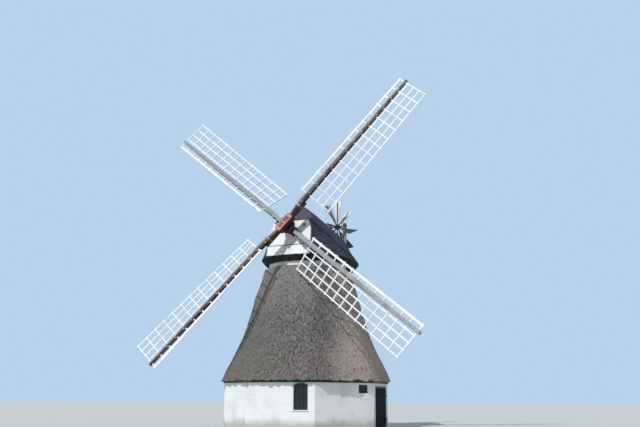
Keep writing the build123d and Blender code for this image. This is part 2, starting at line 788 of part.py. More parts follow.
def fan_braces():
    """Raking braces from the posts down into the roof."""
    braces = []
    for side in (-1, 1):
        x = side * FAN_POST_SPACING / 2
        start = Vector(x, FAN_BRACE_FOOT_Y, FAN_BRACE_FOOT_Z)
        end = Vector(x, FAN_Y, FAN_BRACE_TOP_Z)
        brace = lath(start, end, Vector(1, 0, 0), FAN_BRACE, FAN_BRACE)
        front_half = block(-LONG, LONG, -LONG, FAN_Y - FAN_POST / 2, 0, LONG)
        braces.append(fan_placed(brace & front_half))
    return braces


def fan_rails():
    """Rails between the two posts."""
    rails = []
    inside = (FAN_POST_SPACING - FAN_POST) / 2
    for middle in (FAN_UPPER_RAIL_Z, FAN_LOWER_RAIL_Z):
        rail = block(-inside, inside, FAN_Y - FAN_BRACE / 2, FAN_Y + FAN_BRACE / 2,
                     middle - FAN_BRACE / 2, middle + FAN_BRACE / 2)
        rails.append(fan_placed(rail))
    return rails


def parts():
    pieces = dict(walls())
    frames, panes = window_parts()
    pieces["floor_slab"] = floor_slab()
    pieces["wall_plate"] = wall_plate()
    pieces["eave_board"] = eave_board()
    pieces["window_frames"] = Compound(frames)
    pieces["window_panes"] = Compound(panes)
    pieces["door_frame"] = door_frame()
    pieces["threshold"] = threshold()
    pieces["door_hinge_pins"] = Compound(hinge_pins())
    pieces["door_leaf_left"] = door_leaf(-1)
    pieces["door_leaf_right"] = door_leaf(1)
    panel = smock_panel()
    for index in range(FACES):
        pieces[f"smock_panel_{index + 1}"] = facing(face_bearing(index), panel)
    pieces["curb_ring"] = tube(CURB_OUTER, CURB_INNER, SMOCK_HEAD_Z, CURB_HEIGHT)
    pieces["glide_blocks"] = Compound(glide_blocks())
    pieces["cap_ring"] = cap_ring()
    gable, hip, roof = cap_shells()
    pieces["front_gable"] = gable
    pieces["front_hip"] = hip
    pieces["cap_roof"] = roof
    pieces["cap_skirt"] = skirt()
    pieces["sheers"] = Compound(sheers())
    pieces["weather_beam"] = shaft_beam(WEATHER_BEAM_Y, SHAFT_NECK)
    pieces["tail_beam"] = shaft_beam(TAIL_BEAM_Y, SHAFT_TAIL)
    pieces["windshaft"] = windshaft()
    pieces["poll_end"] = poll_end()
    pieces["stock_front"] = stock(0)
    pieces["stock_rear"] = stock(1)
    band = stock_band()
    pieces["stock_bands"] = Compound([on_arm(quarter, band) for quarter in range(4)])
    lattice = sail_lattice()
    for quarter in range(4):
        pieces[f"sail_{quarter + 1}"] = on_arm(quarter, lattice)
    pieces["fan_shaft"] = fan_shaft()
    pieces["fan_blades"] = Compound(fan_blades())
    pieces["fan_posts"] = Compound(fan_posts())
    pieces["fan_braces"] = Compound(fan_braces())
    pieces["fan_rails"] = Compound(fan_rails())
    return pieces


os.makedirs("parts", exist_ok=True)
for name, shape in parts().items():
    export_step(shape, f"parts/{name}.step")
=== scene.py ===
import bmesh
import bpy
import math
import numpy as np
from mathutils import Matrix, Vector


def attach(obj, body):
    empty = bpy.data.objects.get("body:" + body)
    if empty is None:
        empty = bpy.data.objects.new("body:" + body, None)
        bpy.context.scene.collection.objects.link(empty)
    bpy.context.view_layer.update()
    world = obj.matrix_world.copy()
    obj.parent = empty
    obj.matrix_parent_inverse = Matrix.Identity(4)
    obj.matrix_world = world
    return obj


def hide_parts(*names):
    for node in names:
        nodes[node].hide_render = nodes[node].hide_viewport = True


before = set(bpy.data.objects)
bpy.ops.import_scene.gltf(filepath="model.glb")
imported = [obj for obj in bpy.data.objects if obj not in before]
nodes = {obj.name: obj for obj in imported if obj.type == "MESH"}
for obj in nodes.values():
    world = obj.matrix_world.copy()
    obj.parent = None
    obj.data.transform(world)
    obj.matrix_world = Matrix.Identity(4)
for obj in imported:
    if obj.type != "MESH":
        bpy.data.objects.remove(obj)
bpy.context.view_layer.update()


# Small helpers

def srgb(hexColour):
    # each channel of the hex code, turned from sRGB to linear light
    channels = [int(hexColour[i:i + 2], 16) / 255 for i in (1, 3, 5)]
    return tuple(c / 12.92 if c <= 0.04045 else ((c + 0.055) / 1.055) ** 2.4 for c in channels) + (1.0,)


def connect(tree, node, inputs):
    # each socket gets a link, a value, or a colour given as its hex code
    for name, value in inputs.items():
        if isinstance(value, bpy.types.NodeSocket):
            tree.links.new(value, node.inputs[name])
        else:
            node.inputs[name].default_value = srgb(value) if isinstance(value, str) else value


def addNode(tree, kind, inputs=None, output=0, stops=(), **settings):
    # one node with its settings, its inputs and the stops of its colour ramp; gives one of its outputs
    node = tree.nodes.new("ShaderNode" + kind)
    for name, value in settings.items():
        setattr(node, name, value)
    for index, (position, colour) in enumerate(stops):
        elements = node.color_ramp.elements
        element = elements[index] if index < len(elements) else elements.new(1.0)
        element.position, element.color = position, srgb(colour)
    connect(tree, node, inputs or {})
    return node.outputs[output] if len(node.outputs) else None


def newMaterial(name):
    # a material, its node tree, and the surface's point in Object coordinates
    material = bpy.data.materials.new(name)
    material.use_nodes = True
    tree = material.node_tree
    return material, tree, addNode(tree, "TexCoord", output="Object")


def pattern(tree, point, millimetres, detail, roughness):
    # cloudy spots whose size along each axis is given in millimetres
    scale = tuple(1000 / size for size in millimetres)
    place = addNode(tree, "Mapping", {"Vector": point, "Scale": scale})
    return addNode(tree, "TexNoise", {"Vector": place, "Scale": 1.0, "Detail": detail, "Roughness": roughness}, "Fac")


def coatOver(tree, under, over, value, low, high, shares=(0.0, 1.0)):
    # one colour laid over another, its share going softly between two as a value goes from low to high
    share = addNode(tree, "MapRange", {"Value": value, "From Min": low, "From Max": high, "To Min": shares[0],
                                       "To Max": shares[1]}, interpolation_type="SMOOTHSTEP")
    return addNode(tree, "Mix", {0: share, 6: under, 7: over}, 2, data_type="RGBA")


def finish(material, colour, roughness, relief, others=None):
    # what a material ends with: its colour, its roughness as a number or as a pattern's range and the two
    # roughnesses there, layers of relief with their depths in metres, and other values of the shader
    tree, inputs = material.node_tree, {"Base Color": colour, "Roughness": roughness, **(others or {})}
    if isinstance(roughness, tuple):
        names = ("Value", "From Min", "From Max", "To Min", "To Max")
        inputs["Roughness"] = addNode(tree, "MapRange", dict(zip(names, roughness)),
                                      interpolation_type="SMOOTHSTEP")
    for height, depth in relief:
        below = {"Normal": inputs["Normal"]} if "Normal" in inputs else {}
        inputs["Normal"] = addNode(tree, "Bump", {"Height": height, "Strength": 1.0, "Distance": depth, **below})
    connect(tree, tree.nodes["Principled BSDF"], inputs)
    return material


def addPiece(name, vertices, faces, material, body, slot, replaced=(), smooth=False):
    # a closed mesh with its place in its vertices, normals turned outwards, riding on a body
    mesh = bpy.data.meshes.new(name)
    mesh.from_pydata(np.asarray(vertices, float).tolist(), [], [tuple(int(i) for i in face) for face in faces])
    shape = bmesh.new()
    shape.from_mesh(mesh)
    bmesh.ops.recalc_face_normals(shape, faces=shape.faces)
    shape.to_mesh(mesh)
    shape.free()
    mesh.polygons.foreach_set("use_smooth", [smooth] * len(mesh.polygons))
    mesh.materials.append(material)
    piece = bpy.data.objects.new(name, mesh)
    bpy.context.scene.collection.objects.link(piece)
    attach(piece, body)
    if replaced:
        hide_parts(*replaced)
    return piece


def gridFaces(rows, columns, closeRows=False, closeColumns=False):
    # four-sided faces between neighbours of a grid of rows times columns
    row, column = np.meshgrid(np.arange(rows if closeRows else rows - 1),
                              np.arange(columns if closeColumns else columns - 1), indexing="ij")
    nextRow, nextColumn = (row + 1) % rows, (column + 1) % columns
    corners = (row * columns + column, row * columns + nextColumn,
               nextRow * columns + nextColumn, nextRow * columns + column)
    return np.stack(corners, axis=-1).reshape(-1, 4)


def naturalSpline(knots, values, where):
    # piecewise cubic through the values, continuous in slope and bend, with no bend at its two ends
    knots = np.asarray(knots, float)
    values = np.asarray(values, float).reshape(len(knots), -1)
    gap = np.diff(knots)
    system = np.eye(len(knots))
    inside = np.arange(1, len(knots) - 1)
    system[inside, inside - 1] = gap[:-1]
    system[inside, inside] = 2 * (gap[:-1] + gap[1:])
    system[inside, inside + 1] = gap[1:]
    slope = np.diff(values, axis=0) / gap[:, None]
    load = np.zeros_like(values)
    load[1:-1] = 6 * np.diff(slope, axis=0)
    bend = np.linalg.solve(system, load)
    where = np.asarray(where, float)
    where = where.reshape(len(where), -1) + np.zeros((1, values.shape[1]))
    cell = np.clip(np.searchsorted(knots, where) - 1, 0, len(knots) - 2)
    left, right, width = where - knots[cell], knots[cell + 1] - where, gap[cell]
    low, high = np.take_along_axis(values, cell, 0), np.take_along_axis(values, cell + 1, 0)
    lowBend, highBend = np.take_along_axis(bend, cell, 0), np.take_along_axis(bend, cell + 1, 0)
    cubic = (lowBend * right ** 3 + highBend * left ** 3) / (6 * width)
    return cubic + (low / width - lowBend * width / 6) * right + (high / width - highBend * width / 6) * left


def rollingNoise(points, size, seed, waves=9):
    # sum of sine waves in unlike directions, each about one size long, between about -1 and 1
    random = np.random.default_rng(seed)
    direction = random.normal(size=(waves, 3))
    direction /= np.linalg.norm(direction, axis=1)[:, None]
    length = size * random.uniform(0.7, 1.6, waves)
    phase = random.uniform(0, 2 * math.pi, waves)
    angle = 2 * math.pi * (points @ (direction / length[:, None]).T) + phase
    return np.sin(angle).sum(axis=-1) / math.sqrt(waves)


def tubeFaces(rings, sides):
    # the walls between rings of corners, with a cap on the first ring and on the last
    caps = [tuple(range(sides)), tuple(range((rings - 1) * sides, rings * sides))]
    return [tuple(face) for face in gridFaces(rings, sides, closeColumns=True)] + caps


def unit(vectors):
    # vectors of length one, along the last axis
    return vectors / np.linalg.norm(vectors, axis=-1, keepdims=True)


def sweptBar(start, end, normal, width, depth, chamfer=0.004, endWidth=None, endDepth=None):
    # rectangle with cut corners, carried from start to end, its depth along the normal
    start, end, normal = (np.asarray(v, float) for v in (start, end, normal))
    along = unit(end - start)
    across = unit(np.cross(normal, along))
    ahead = np.cross(along, across)

    def ring(centre, w, d):
        cut, x, y = min(chamfer, w / 3, d / 3), w / 2, d / 2
        outline = np.array(((cut - x, -y), (x - cut, -y), (x, cut - y), (x, y - cut),
                            (x - cut, y), (cut - x, y), (-x, y - cut), (-x, cut - y)))
        return centre + outline[:, :1] * across + outline[:, 1:] * ahead

    rings = ring(start, width, depth), ring(end, endWidth or width, endDepth or depth)
    return np.concatenate(rings), tubeFaces(2, 8)


def prism(outline, thickness):
    # flat outline carried along a thickness vector
    outline = np.asarray(outline, float)
    return np.concatenate((outline, outline + np.asarray(thickness, float))), tubeFaces(2, len(outline))


def sweptPath(points, normals, width, depth):
    # rectangle carried along a line of points, its depth along each point's normal
    tangent = unit(np.gradient(points, axis=0))
    across = unit(np.cross(normals, tangent))
    ahead = np.cross(tangent, across)
    corners = ((-width / 2, -depth / 2), (width / 2, -depth / 2), (width / 2, depth / 2), (-width / 2, depth / 2))
    rings = np.stack([points + across * a + ahead * b for a, b in corners], axis=1)
    return rings.reshape(-1, 3), tubeFaces(len(points), 4)


def roundHead(centre, axis, first, levels, sides):
    # rings of corners round an axis, starting at a first direction, at levels given as (distance, radius)
    turn = np.arange(sides) * 2 * math.pi / sides
    circle = np.cos(turn)[:, None] * first + np.sin(turn)[:, None] * np.cross(axis, first)
    rings = np.concatenate([centre + axis * level + circle * radius for level, radius in levels])
    return rings, tubeFaces(len(levels), sides)


def joined(parts):
    # many small solids as one list of vertices and one of faces
    vertices, faces, first = [], [], 0
    for points, polygons in parts:
        vertices.append(points)
        faces += [tuple(i + first for i in polygon) for polygon in polygons]
        first += len(points)
    return np.concatenate(vertices), faces


# Camera: it stands where the photograph was taken from

cameraSetup = {"bearing": 25.38, "distance": 44.28, "eye": 1.6, "yaw": -0.865, "pitch": 12.85,
               "roll": 0.26, "lens": 45.36}


def addCamera(setup):
    # a bearing round the tower, a distance and an eye height give the place; from a level look at the
    # tower's axis it is turned sideways by yaw, up by pitch and about its own line of sight by roll
    bearing, yaw, pitch, roll = (math.radians(setup[key]) for key in ("bearing", "yaw", "pitch", "roll"))
    place = Vector((setup["distance"] * math.sin(bearing), -setup["distance"] * math.cos(bearing), setup["eye"]))
    level = Matrix.Rotation(yaw, 3, "Z") @ Vector((-math.sin(bearing), math.cos(bearing), 0))
    right = level.cross(Vector((0, 0, 1)))
    ahead = level * math.cos(pitch) + Vector((0, 0, 1)) * math.sin(pitch)
    above = right.cross(ahead)
    sideways = right * math.cos(roll) + above * math.sin(roll)
    upward = above * math.cos(roll) - right * math.sin(roll)
    data = bpy.data.cameras.new("photoCamera")
    data.lens = setup["lens"]
    data.clip_end = 500
    camera = bpy.data.objects.new("photoCamera", data)
    bpy.context.scene.collection.objects.link(camera)
    turn = Matrix((sideways, upward, -ahead)).transposed().to_4x4()
    camera.matrix_world = Matrix.Translation(place) @ turn
    bpy.context.scene.camera = camera


addCamera(cameraSetup)

# Light, floor and backdrop

lightSetup = {"sunStrength": 2.55, "sunAngle": 1.3, "sunBearing": -15, "sunHeight": 46, "skyStrength": 0.42,
              "skyColour": "#e2ebf6", "backdropColour": "#b9d2ec", "floorSize": 400, "floorColour": "#cfd3d0"}


def addLights(setup):
    # a sun given by its bearing and its height above the horizon
    sun = bpy.data.lights.new("softSun", "SUN")
    sun.energy = setup["sunStrength"]
    sun.angle = math.radians(setup["sunAngle"])
    lamp = bpy.data.objects.new("softSun", sun)
    bpy.context.scene.collection.objects.link(lamp)
    lamp.rotation_euler = (math.radians(90 - setup["sunHeight"]), 0, math.radians(setup["sunBearing"]))
    # the sky lights the object softly, and shows as a plain backdrop, also in glass and gloss
    world = bpy.data.worlds.new("paleSky")
    world.use_nodes = True
    bpy.context.scene.world = world
    tree = world.node_tree
    tree.nodes.clear()
    path = addNode(tree, "LightPath").node.outputs
    shown = path["Is Camera Ray"]
    for ray in ("Is Glossy Ray", "Is Transmission Ray"):
        shown = addNode(tree, "Math", {0: shown, 1: path[ray]}, operation="MAXIMUM")
    soft = addNode(tree, "Background", {"Color": setup["skyColour"], "Strength": setup["skyStrength"]})
    seen = addNode(tree, "Background", {"Color": setup["backdropColour"], "Strength": 1.0})
    mix = addNode(tree, "MixShader", {0: shown, 1: soft, 2: seen})
    addNode(tree, "OutputWorld", {"Surface": mix})


def addFloor(setup):
    # a wide flat square at ground level, shown but no part of the object
    half = setup["floorSize"] / 2
    mesh = bpy.data.meshes.new("floor")
    mesh.from_pydata([(-half, -half, 0), (half, -half, 0), (half, half, 0), (-half, half, 0)], [], [(0, 1, 2, 3)])
    floor = bpy.data.objects.new("floor", mesh)
    bpy.context.scene.collection.objects.link(floor)
    mesh.materials.append(finish(newMaterial("paleFloor")[0], setup["floorColour"], 0.9, ()))


addLights(lightSetup)
addFloor(lightSetup)
bpy.context.scene.view_settings.view_transform = "Standard"
print("camera, light and floor")

# Directions that several pieces share

sailSetup = {"tilt": 15.8, "hub": (0, -3.04, 10.626), "turn": 51.0, "spacing": 0.56}
fanPlace = {"centre": (0, 4.18, 11.72), "turn": -15.0}
doorBearing = math.radians(98)
shaftTilt = math.radians(sailSetup["tilt"])
shaftAxis = np.array((0, -math.cos(shaftTilt), math.sin(shaftTilt)))     # towards the front
shaftRise = np.array((0, math.sin(shaftTilt), math.cos(shaftTilt)))
hubLevel = float(np.dot(sailSetup["hub"], shaftAxis))


def armDirections(quarter):
    # along one of the four arms and across it, both square to the windshaft
    turn, level = math.radians(sailSetup["turn"] + 90 * quarter), np.array((1.0, 0, 0))
    return level * math.cos(turn) + shaftRise * math.sin(turn), shaftRise * math.cos(turn) - level * math.sin(turn)


# Materials

def reedThatch(name, colours, sides=None):
    # water reed laid in thick coats, seen at its cut ends: rough and matt, grey with age, mottled in
    # clumps of about 80 mm with painted shade in the pits between them, and finer bundles of 34 mm on top;
    # single reeds are too fine to show, so the finest pattern stands for small bundles of them
    material, tree, point = newMaterial(name)
    dark, middle, light, pitShade = colours
    clumps = pattern(tree, point, (80, 80, 170), 3.0, 0.66)
    bundles = pattern(tree, point, (34, 34, 90), 2.5, 0.6)
    pits = addNode(tree, "MapRange", {"Value": pattern(tree, point, (90, 90, 190), 4.0, 0.72),
                                      "From Min": 0.33, "From Max": 0.43}, interpolation_type="SMOOTHSTEP")
    weather = pattern(tree, point, (2300, 2300, 3400), 2.5, 0.55)
    colour = addNode(tree, "ValToRGB", {"Fac": clumps}, stops=((0.38, dark), (0.49, middle), (0.62, light)))
    colour = coatOver(tree, colour, dark, bundles, 0.38, 0.62, (0.45, 0.0))
    colour = coatOver(tree, colour, light, bundles, 0.56, 0.68, (0.0, 0.5))
    if sides:
        # one side of the tower is a pale tan, partly bleached and partly painted light, the other is greenish with
        # algae, and the eave is warmer
        mossAndLightSide = addNode(tree, "VectorMath", {0: point, 1: sides["mossAndLightSide"]}, "Value", operation="DOT_PRODUCT")
        height = addNode(tree, "SeparateXYZ", {"Vector": point}, "Z")
        across = addNode(tree, "Math", {0: weather, 1: 2.4, 2: mossAndLightSide}, operation="MULTIPLY_ADD")
        upper = addNode(tree, "Math", {0: height, 1: weather}, operation="ADD")
        lower = addNode(tree, "Math", {0: weather, 1: -2.0, 2: height}, operation="MULTIPLY_ADD")
        # the right side's pale tan is partly painted light
        tannedAndLit = addNode(tree, "Mix", {0: 0.5, 6: colour, 7: sides["right"]}, 2, data_type="RGBA")
        mossy = addNode(tree, "Mix", {0: 0.42, 6: colour, 7: sides["left"]}, 2, data_type="RGBA")
        colour = coatOver(tree, mossy, colour, across, -1.6, 0.4)
        colour = coatOver(tree, colour, tannedAndLit, across, 1.2, 3.2)
        colour = coatOver(tree, colour, light, upper, 5.6, 8.6, (0.0, 0.5))
        colour = coatOver(tree, colour, sides["eave"], lower, 1.2, 3.2, (0.2, 0.0))
    else:
        colour = coatOver(tree, colour, middle, weather, 0.35, 0.7, (0.0, 0.4))
    # the pits between clumps are darkened with painted shade
    colour = addNode(tree, "Mix", {0: pits, 6: pitShade, 7: colour}, 2, data_type="RGBA")
    coarse = addNode(tree, "Math", {0: pits, 1: 0.4, 2: clumps}, operation="MULTIPLY_ADD")
    return finish(material, colour, 0.93, ((coarse, 0.07), (bundles, 0.025)), {"Specular IOR Level": 0.25})


def paintedTimber(name, colours, grain=(40, 40, 900), boards=None, rough=0.5, gloss=0.5):
    # brushed oil paint on sawn boards: an even coat with faint brush and grain lines along the wood,
    # washed dirt in soft patches and a few worn spots where older paint or bare wood shows; painted
    # ironwork has the same coat, whose lines are brush marks there
    material, tree, point = newMaterial(name)
    coat, streak, dirt, worn = colours
    lines = pattern(tree, point, grain, 3.0, 0.6)
    patches = pattern(tree, point, (700, 700, 1100), 3.0, 0.6)
    wear = pattern(tree, point, (170, 170, 260), 3.5, 0.7)
    colour = coatOver(tree, coat, streak, lines, 0.35, 0.7, (0.0, 0.35))
    colour = coatOver(tree, colour, dirt, patches, 0.45, 0.75, (0.0, 0.7))
    colour = coatOver(tree, colour, worn, wear, 0.63, 0.72)
    height = lines
    if boards:
        # joints between boards: a narrow dark groove once every board width
        place = addNode(tree, "VectorMath", {0: point, 1: boards["across"]}, "Value", operation="DOT_PRODUCT")
        shifted = addNode(tree, "Math", {0: place, 1: 50.0}, operation="ADD")
        away = addNode(tree, "Math", {0: shifted, 1: boards["width"] / 2}, operation="PINGPONG")
        joint = addNode(tree, "MapRange", {"Value": away, "From Min": 0.0, "From Max": boards["gap"],
                                           "To Min": 1.0, "To Max": 0.0}, interpolation_type="SMOOTHSTEP")
        share = addNode(tree, "Math", {0: joint, 1: boards["strength"]}, operation="MULTIPLY")
        colour = addNode(tree, "Mix", {0: share, 6: colour, 7: boards["shade"]}, 2, data_type="RGBA")
        height = addNode(tree, "Math", {0: joint, 1: -3.0, 2: lines}, operation="MULTIPLY_ADD")
    return finish(material, colour, (patches, 0.3, 0.8, rough - 0.08, rough + 0.15), ((height, 0.003),),
                  {"Specular IOR Level": gloss})


def bareTimber(name, colours):
    # sawn oak left bare outdoors: grey-brown, dry and rough, with long grain and darker checks
    material, tree, point = newMaterial(name)
    lines = pattern(tree, point, (30, 30, 800), 4.0, 0.65)
    colour = addNode(tree, "ValToRGB", {"Fac": lines}, stops=tuple(zip((0.3, 0.5, 0.7), colours)))
    return finish(material, colour, 0.82, ((lines, 0.004),))


def whitewashedBrick(name, setup):
    # limewash over brick: the courses show softly through thick white coats, their joints tinted bluish grey as
    # painted shade, and it is dirty near the ground
    material, tree, point = newMaterial(name)
    split = addNode(tree, "SeparateXYZ", {"Vector": point}).node.outputs
    ahead = addNode(tree, "Math", {0: split["Y"], 1: -1.0}, operation="MULTIPLY")
    turn = addNode(tree, "Math", {0: split["X"], 1: ahead}, operation="ARCTAN2")
    around = addNode(tree, "Math", {0: turn, 1: setup["radius"]}, operation="MULTIPLY")
    flat = addNode(tree, "CombineXYZ", {"X": around, "Y": split["Z"], "Z": 0.0})
    courses = addNode(tree, "TexBrick", {"Vector": flat, "Scale": 1.0, "Mortar Size": setup["joint"],
                                         "Mortar Smooth": 1.0, "Brick Width": setup["length"],
                                         "Row Height": setup["course"]}, "Fac")
    patches = pattern(tree, point, (900, 900, 700), 4.0, 0.6)
    lumps = pattern(tree, point, (60, 60, 40), 3.0, 0.6)
    shading = addNode(tree, "Math", {0: courses, 1: 0.22}, operation="MULTIPLY")
    low = addNode(tree, "Math", {0: patches, 1: -0.7, 2: split["Z"]}, operation="MULTIPLY_ADD")
    colour = coatOver(tree, setup["wash"], setup["dull"], patches, 0.42, 0.72, (0.0, 0.75))
    # the joints take a bluish grey painted shade
    colour = addNode(tree, "Mix", {0: shading, 6: colour, 7: setup["shade"]}, 2, data_type="RGBA")
    colour = coatOver(tree, colour, setup["splash"], low, -0.15, 0.35, (0.7, 0.0))
    relief = addNode(tree, "Math", {0: courses, 1: -1.4, 2: lumps}, operation="MULTIPLY_ADD")
    return finish(material, colour, 0.88, ((relief, 0.007),))


def facedPaint(name, colours, shadeStrip=None):
    # parts of the sails: their front faces in one paint, sides and backs in a dark painted shade, both worn;
    # the middle part of a stock, and the parts that stand further back, may have a front paint of their own
    material, tree, point = newMaterial(name)
    normal = addNode(tree, "TexCoord", output="Normal")
    facing, level = [addNode(tree, "VectorMath", {0: vector, 1: tuple(shaftAxis)}, "Value",
                             operation="DOT_PRODUCT") for vector in (normal, point)]
    lines = pattern(tree, point, (120, 120, 120), 4.0, 0.65)
    patches = pattern(tree, point, (520, 520, 520), 3.0, 0.6)
    coat = coatOver(tree, colours["front"], colours["light"], lines, 0.4, 0.65)
    coat = coatOver(tree, coat, colours["warm"], patches, 0.5, 0.66)
    if "middle" in colours:
        reach = addNode(tree, "VectorMath", {0: point, 1: sailSetup["hub"]}, "Value", operation="DISTANCE")
        coat = coatOver(tree, colours["middle"], coat, reach, 1.22, 1.26)
    if shadeStrip:
        # a dark strip of painted shade runs along one long side and comes round on to the front as far as a distance
        # from the hub
        side, distance = shadeStrip
        across = addNode(tree, "VectorMath", {0: point, 1: tuple(side)}, "Value", operation="DOT_PRODUCT")
        edge = distance + float(np.dot(side, sailSetup["hub"]))
        coat = coatOver(tree, coat, colours["shadeStrip"], across, edge, edge + 0.006)
    if "further" in colours:
        coat = coatOver(tree, colours["further"], coat, level, hubLevel - 0.5, hubLevel - 0.45)
    if "rim" in colours:
        # raised rims have worn down to pale primer
        coat = coatOver(tree, coat, colours["rim"], level, hubLevel - 0.006, hubLevel - 0.002)
    # the dark colour of sides and backs is painted shade, with lighter streaks
    dark = coatOver(tree, colours["side"], colours["sideLight"], lines, 0.4, 0.7)
    return finish(material, coatOver(tree, dark, coat, facing, 0.35, 0.6), (patches, 0.3, 0.8, 0.4, 0.7),
                  ((lines, 0.003),))


def armPaint(name, colours, centre):
    # the fan's iron hub and axle, black, and its wooden arms in worn olive paint
    material, tree, point = newMaterial(name)
    wear = pattern(tree, point, (150, 150, 150), 4.0, 0.65)
    reach = addNode(tree, "VectorMath", {0: point, 1: centre}, "Value", operation="DISTANCE")
    height = addNode(tree, "SeparateXYZ", {"Vector": point}, "Z")
    above = addNode(tree, "Math", {0: height, 1: centre[2]}, operation="SUBTRACT")
    away = addNode(tree, "Math", {0: above}, operation="ABSOLUTE")
    colour = coatOver(tree, colours["arm"], colours["worn"], wear, 0.45, 0.65)
    colour = coatOver(tree, colours["iron"], colour, away, 0.045, 0.05)
    colour = coatOver(tree, colours["iron"], colour, reach, 0.17, 0.19)
    return finish(material, colour, (wear, 0.3, 0.7, 0.45, 0.7), ((wear, 0.002),))


def bladeCoat(name, colours, axle):
    # the fan's boards: white paint on the side of their arms, dark green on the other, streaked and worn
    material, tree, point = newMaterial(name)
    normal = addNode(tree, "TexCoord", output="Normal")
    side = addNode(tree, "VectorMath", {0: normal, 1: axle}, "Value", operation="DOT_PRODUCT")
    streaks = pattern(tree, point, (60, 60, 300), 3.0, 0.6)
    wear = pattern(tree, point, (160, 160, 160), 4.0, 0.7)
    white = coatOver(tree, colours["white"], colours["dull"], streaks, 0.45, 0.7, (0.0, 0.6))
    green = coatOver(tree, colours["green"], colours["faded"], wear, 0.45, 0.7)
    return finish(material, coatOver(tree, white, green, side, 0.1, 0.2), (wear, 0.3, 0.7, 0.4, 0.65),
                  ((streaks, 0.002),))


def postPaint(name, colours, levels):
    # the fan's posts in bands of old paint: white below, green, and red-brown at the head
    material, tree, point = newMaterial(name)
    split = addNode(tree, "SeparateXYZ", {"Vector": point}).node.outputs
    grain = pattern(tree, point, (40, 40, 500), 3.0, 0.6)
    head = coatOver(tree, colours["farHead"], colours["head"], split["X"], -0.01, 0.01)
    colour = colours["foot"]
    for level, band in zip(levels, (colours["middle"], head)):
        colour = coatOver(tree, colour, band, split["Z"], level - 0.01, level + 0.01)
    colour = coatOver(tree, colour, colours["worn"], grain, 0.5, 0.75, (0.0, 0.5))
    return finish(material, colour, (grain, 0.3, 0.7, 0.45, 0.7), ((grain, 0.003),))


def darkIron(name, colours):
    # cast and forged iron, painted black long ago: dull, slightly pitted, rust in patches
    material, tree, point = newMaterial(name)
    pits = pattern(tree, point, (30, 30, 30), 3.0, 0.6)
    rust = pattern(tree, point, (260, 260, 260), 4.0, 0.65)
    colour = coatOver(tree, colours["black"], colours["rust"], rust, 0.52, 0.7)
    return finish(material, colour, (rust, 0.4, 0.7, 0.45, 0.8), ((pits, 0.002),), {"Metallic": 0.3})


def stoneTiles(name, colours):
    # worn stone slabs, 400 mm, laid in courses
    material, tree, point = newMaterial(name)
    slabs = addNode(tree, "TexBrick", {"Vector": point, "Scale": 1.0, "Mortar Size": 0.008, "Brick Width": 0.5,
                                       "Row Height": 0.4, "Color1": colours["first"], "Color2": colours["second"],
                                       "Mortar": colours["joint"]}, "Color")
    speck = pattern(tree, point, (90, 90, 90), 4.0, 0.6)
    relief = addNode(tree, "Math", {0: speck, 1: slabs.node.outputs["Fac"]}, operation="SUBTRACT")
    return finish(material, coatOver(tree, slabs, colours["joint"], speck, 0.4, 0.7, (0.0, 0.5)), 0.75,
                  ((relief, 0.003),))


def windowGlass(name, setup):
    # old drawn glass before a dark room: nearly black, smooth, slightly wavy
    material, tree, point = newMaterial(name)
    waves = pattern(tree, point, (180, 180, 240), 1.0, 0.5)
    return finish(material, setup["tint"], 0.06, ((waves, 0.002),),
                  {"IOR": 1.5, "Transmission Weight": setup["clear"]})


# thatch: dark, middle and light reed, and the painted shade of the pits between clumps
smockThatch = reedThatch("weatheredReedThatch", ("#4a4847", "#6e6b6a", "#9c9692", "#343130"),
                         {"right": "#d8c8be", "left": "#6d7067", "eave": "#8d756c", "mossAndLightSide": (0.85, 0.53, 0)})
# the cap thatch is dark, and its bluish tone is painted shade, the blue of sky light on shaded thatch
capThatchCoat = reedThatch("darkReedThatchWithPaintedShade", ("#2a2d3c", "#414657", "#6c707c", "#1b1c28"))
skirtThatchCoat = reedThatch("shadedReedThatch", ("#15171b", "#282b30", "#4b4e52", "#0d0e10"))
hipThatchCoat = reedThatch("greyReedThatch", ("#47444b", "#605d66", "#7a777f", "#3c383d"))
# painted wood and iron: the coat, its grain lines, dirt, and what shows where it is worn
whiteBoards = paintedTimber("whitePaintedBoards", ("#f7f7f8", "#e9eaed", "#dcdde0", "#c9c4bd"),
                            boards={"across": (1, 0, 0), "width": 0.145, "gap": 0.005, "strength": 0.25,
                                    "shade": "#8d9096"})
whiteTrim = paintedTimber("whitePaintedTrim", ("#f3f3f5", "#dfe0e3", "#d3d4d6", "#b9b2a8"))
whiteLaths = paintedTimber("whitePaintedLaths", ("#f6f7fa", "#e4e6ea", "#d8dbe0", "#b5aca2"), grain=(60, 60, 60))
greenPaint = paintedTimber("darkGreenPaintedTimber", ("#14302a", "#0f241f", "#23433a", "#4a5a4c"))
paleGreenPaint = paintedTimber("paleGreenPaintedMoulding", ("#9fb1a6", "#8b9e93", "#7c8b81", "#c4c9c0"))
neckPaint = paintedTimber("darkMaroonCastIron", ("#33161b", "#271015", "#43222a", "#5a3438"))
panelPaint = paintedTimber("maroonIronPlates", ("#5c2529", "#4a1d22", "#6f3a3b", "#8f5a58"))
redTimber = paintedTimber("redBrownPaintedTimber", ("#7d4536", "#653529", "#8a5a4a", "#a68a78"))
blackPaint = paintedTimber("blackTarredBoards", ("#16171b", "#0f1013", "#25262a", "#38383b"))
doorPaint = paintedTimber("blackGreenDoorBoards", ("#161c1d", "#101415", "#22292a", "#353b38"),
                          boards={"across": (math.cos(doorBearing), math.sin(doorBearing), 0.0), "width": 0.15,
                                  "gap": 0.007, "strength": 0.8, "shade": "#050606"}, rough=0.85, gloss=0.1)
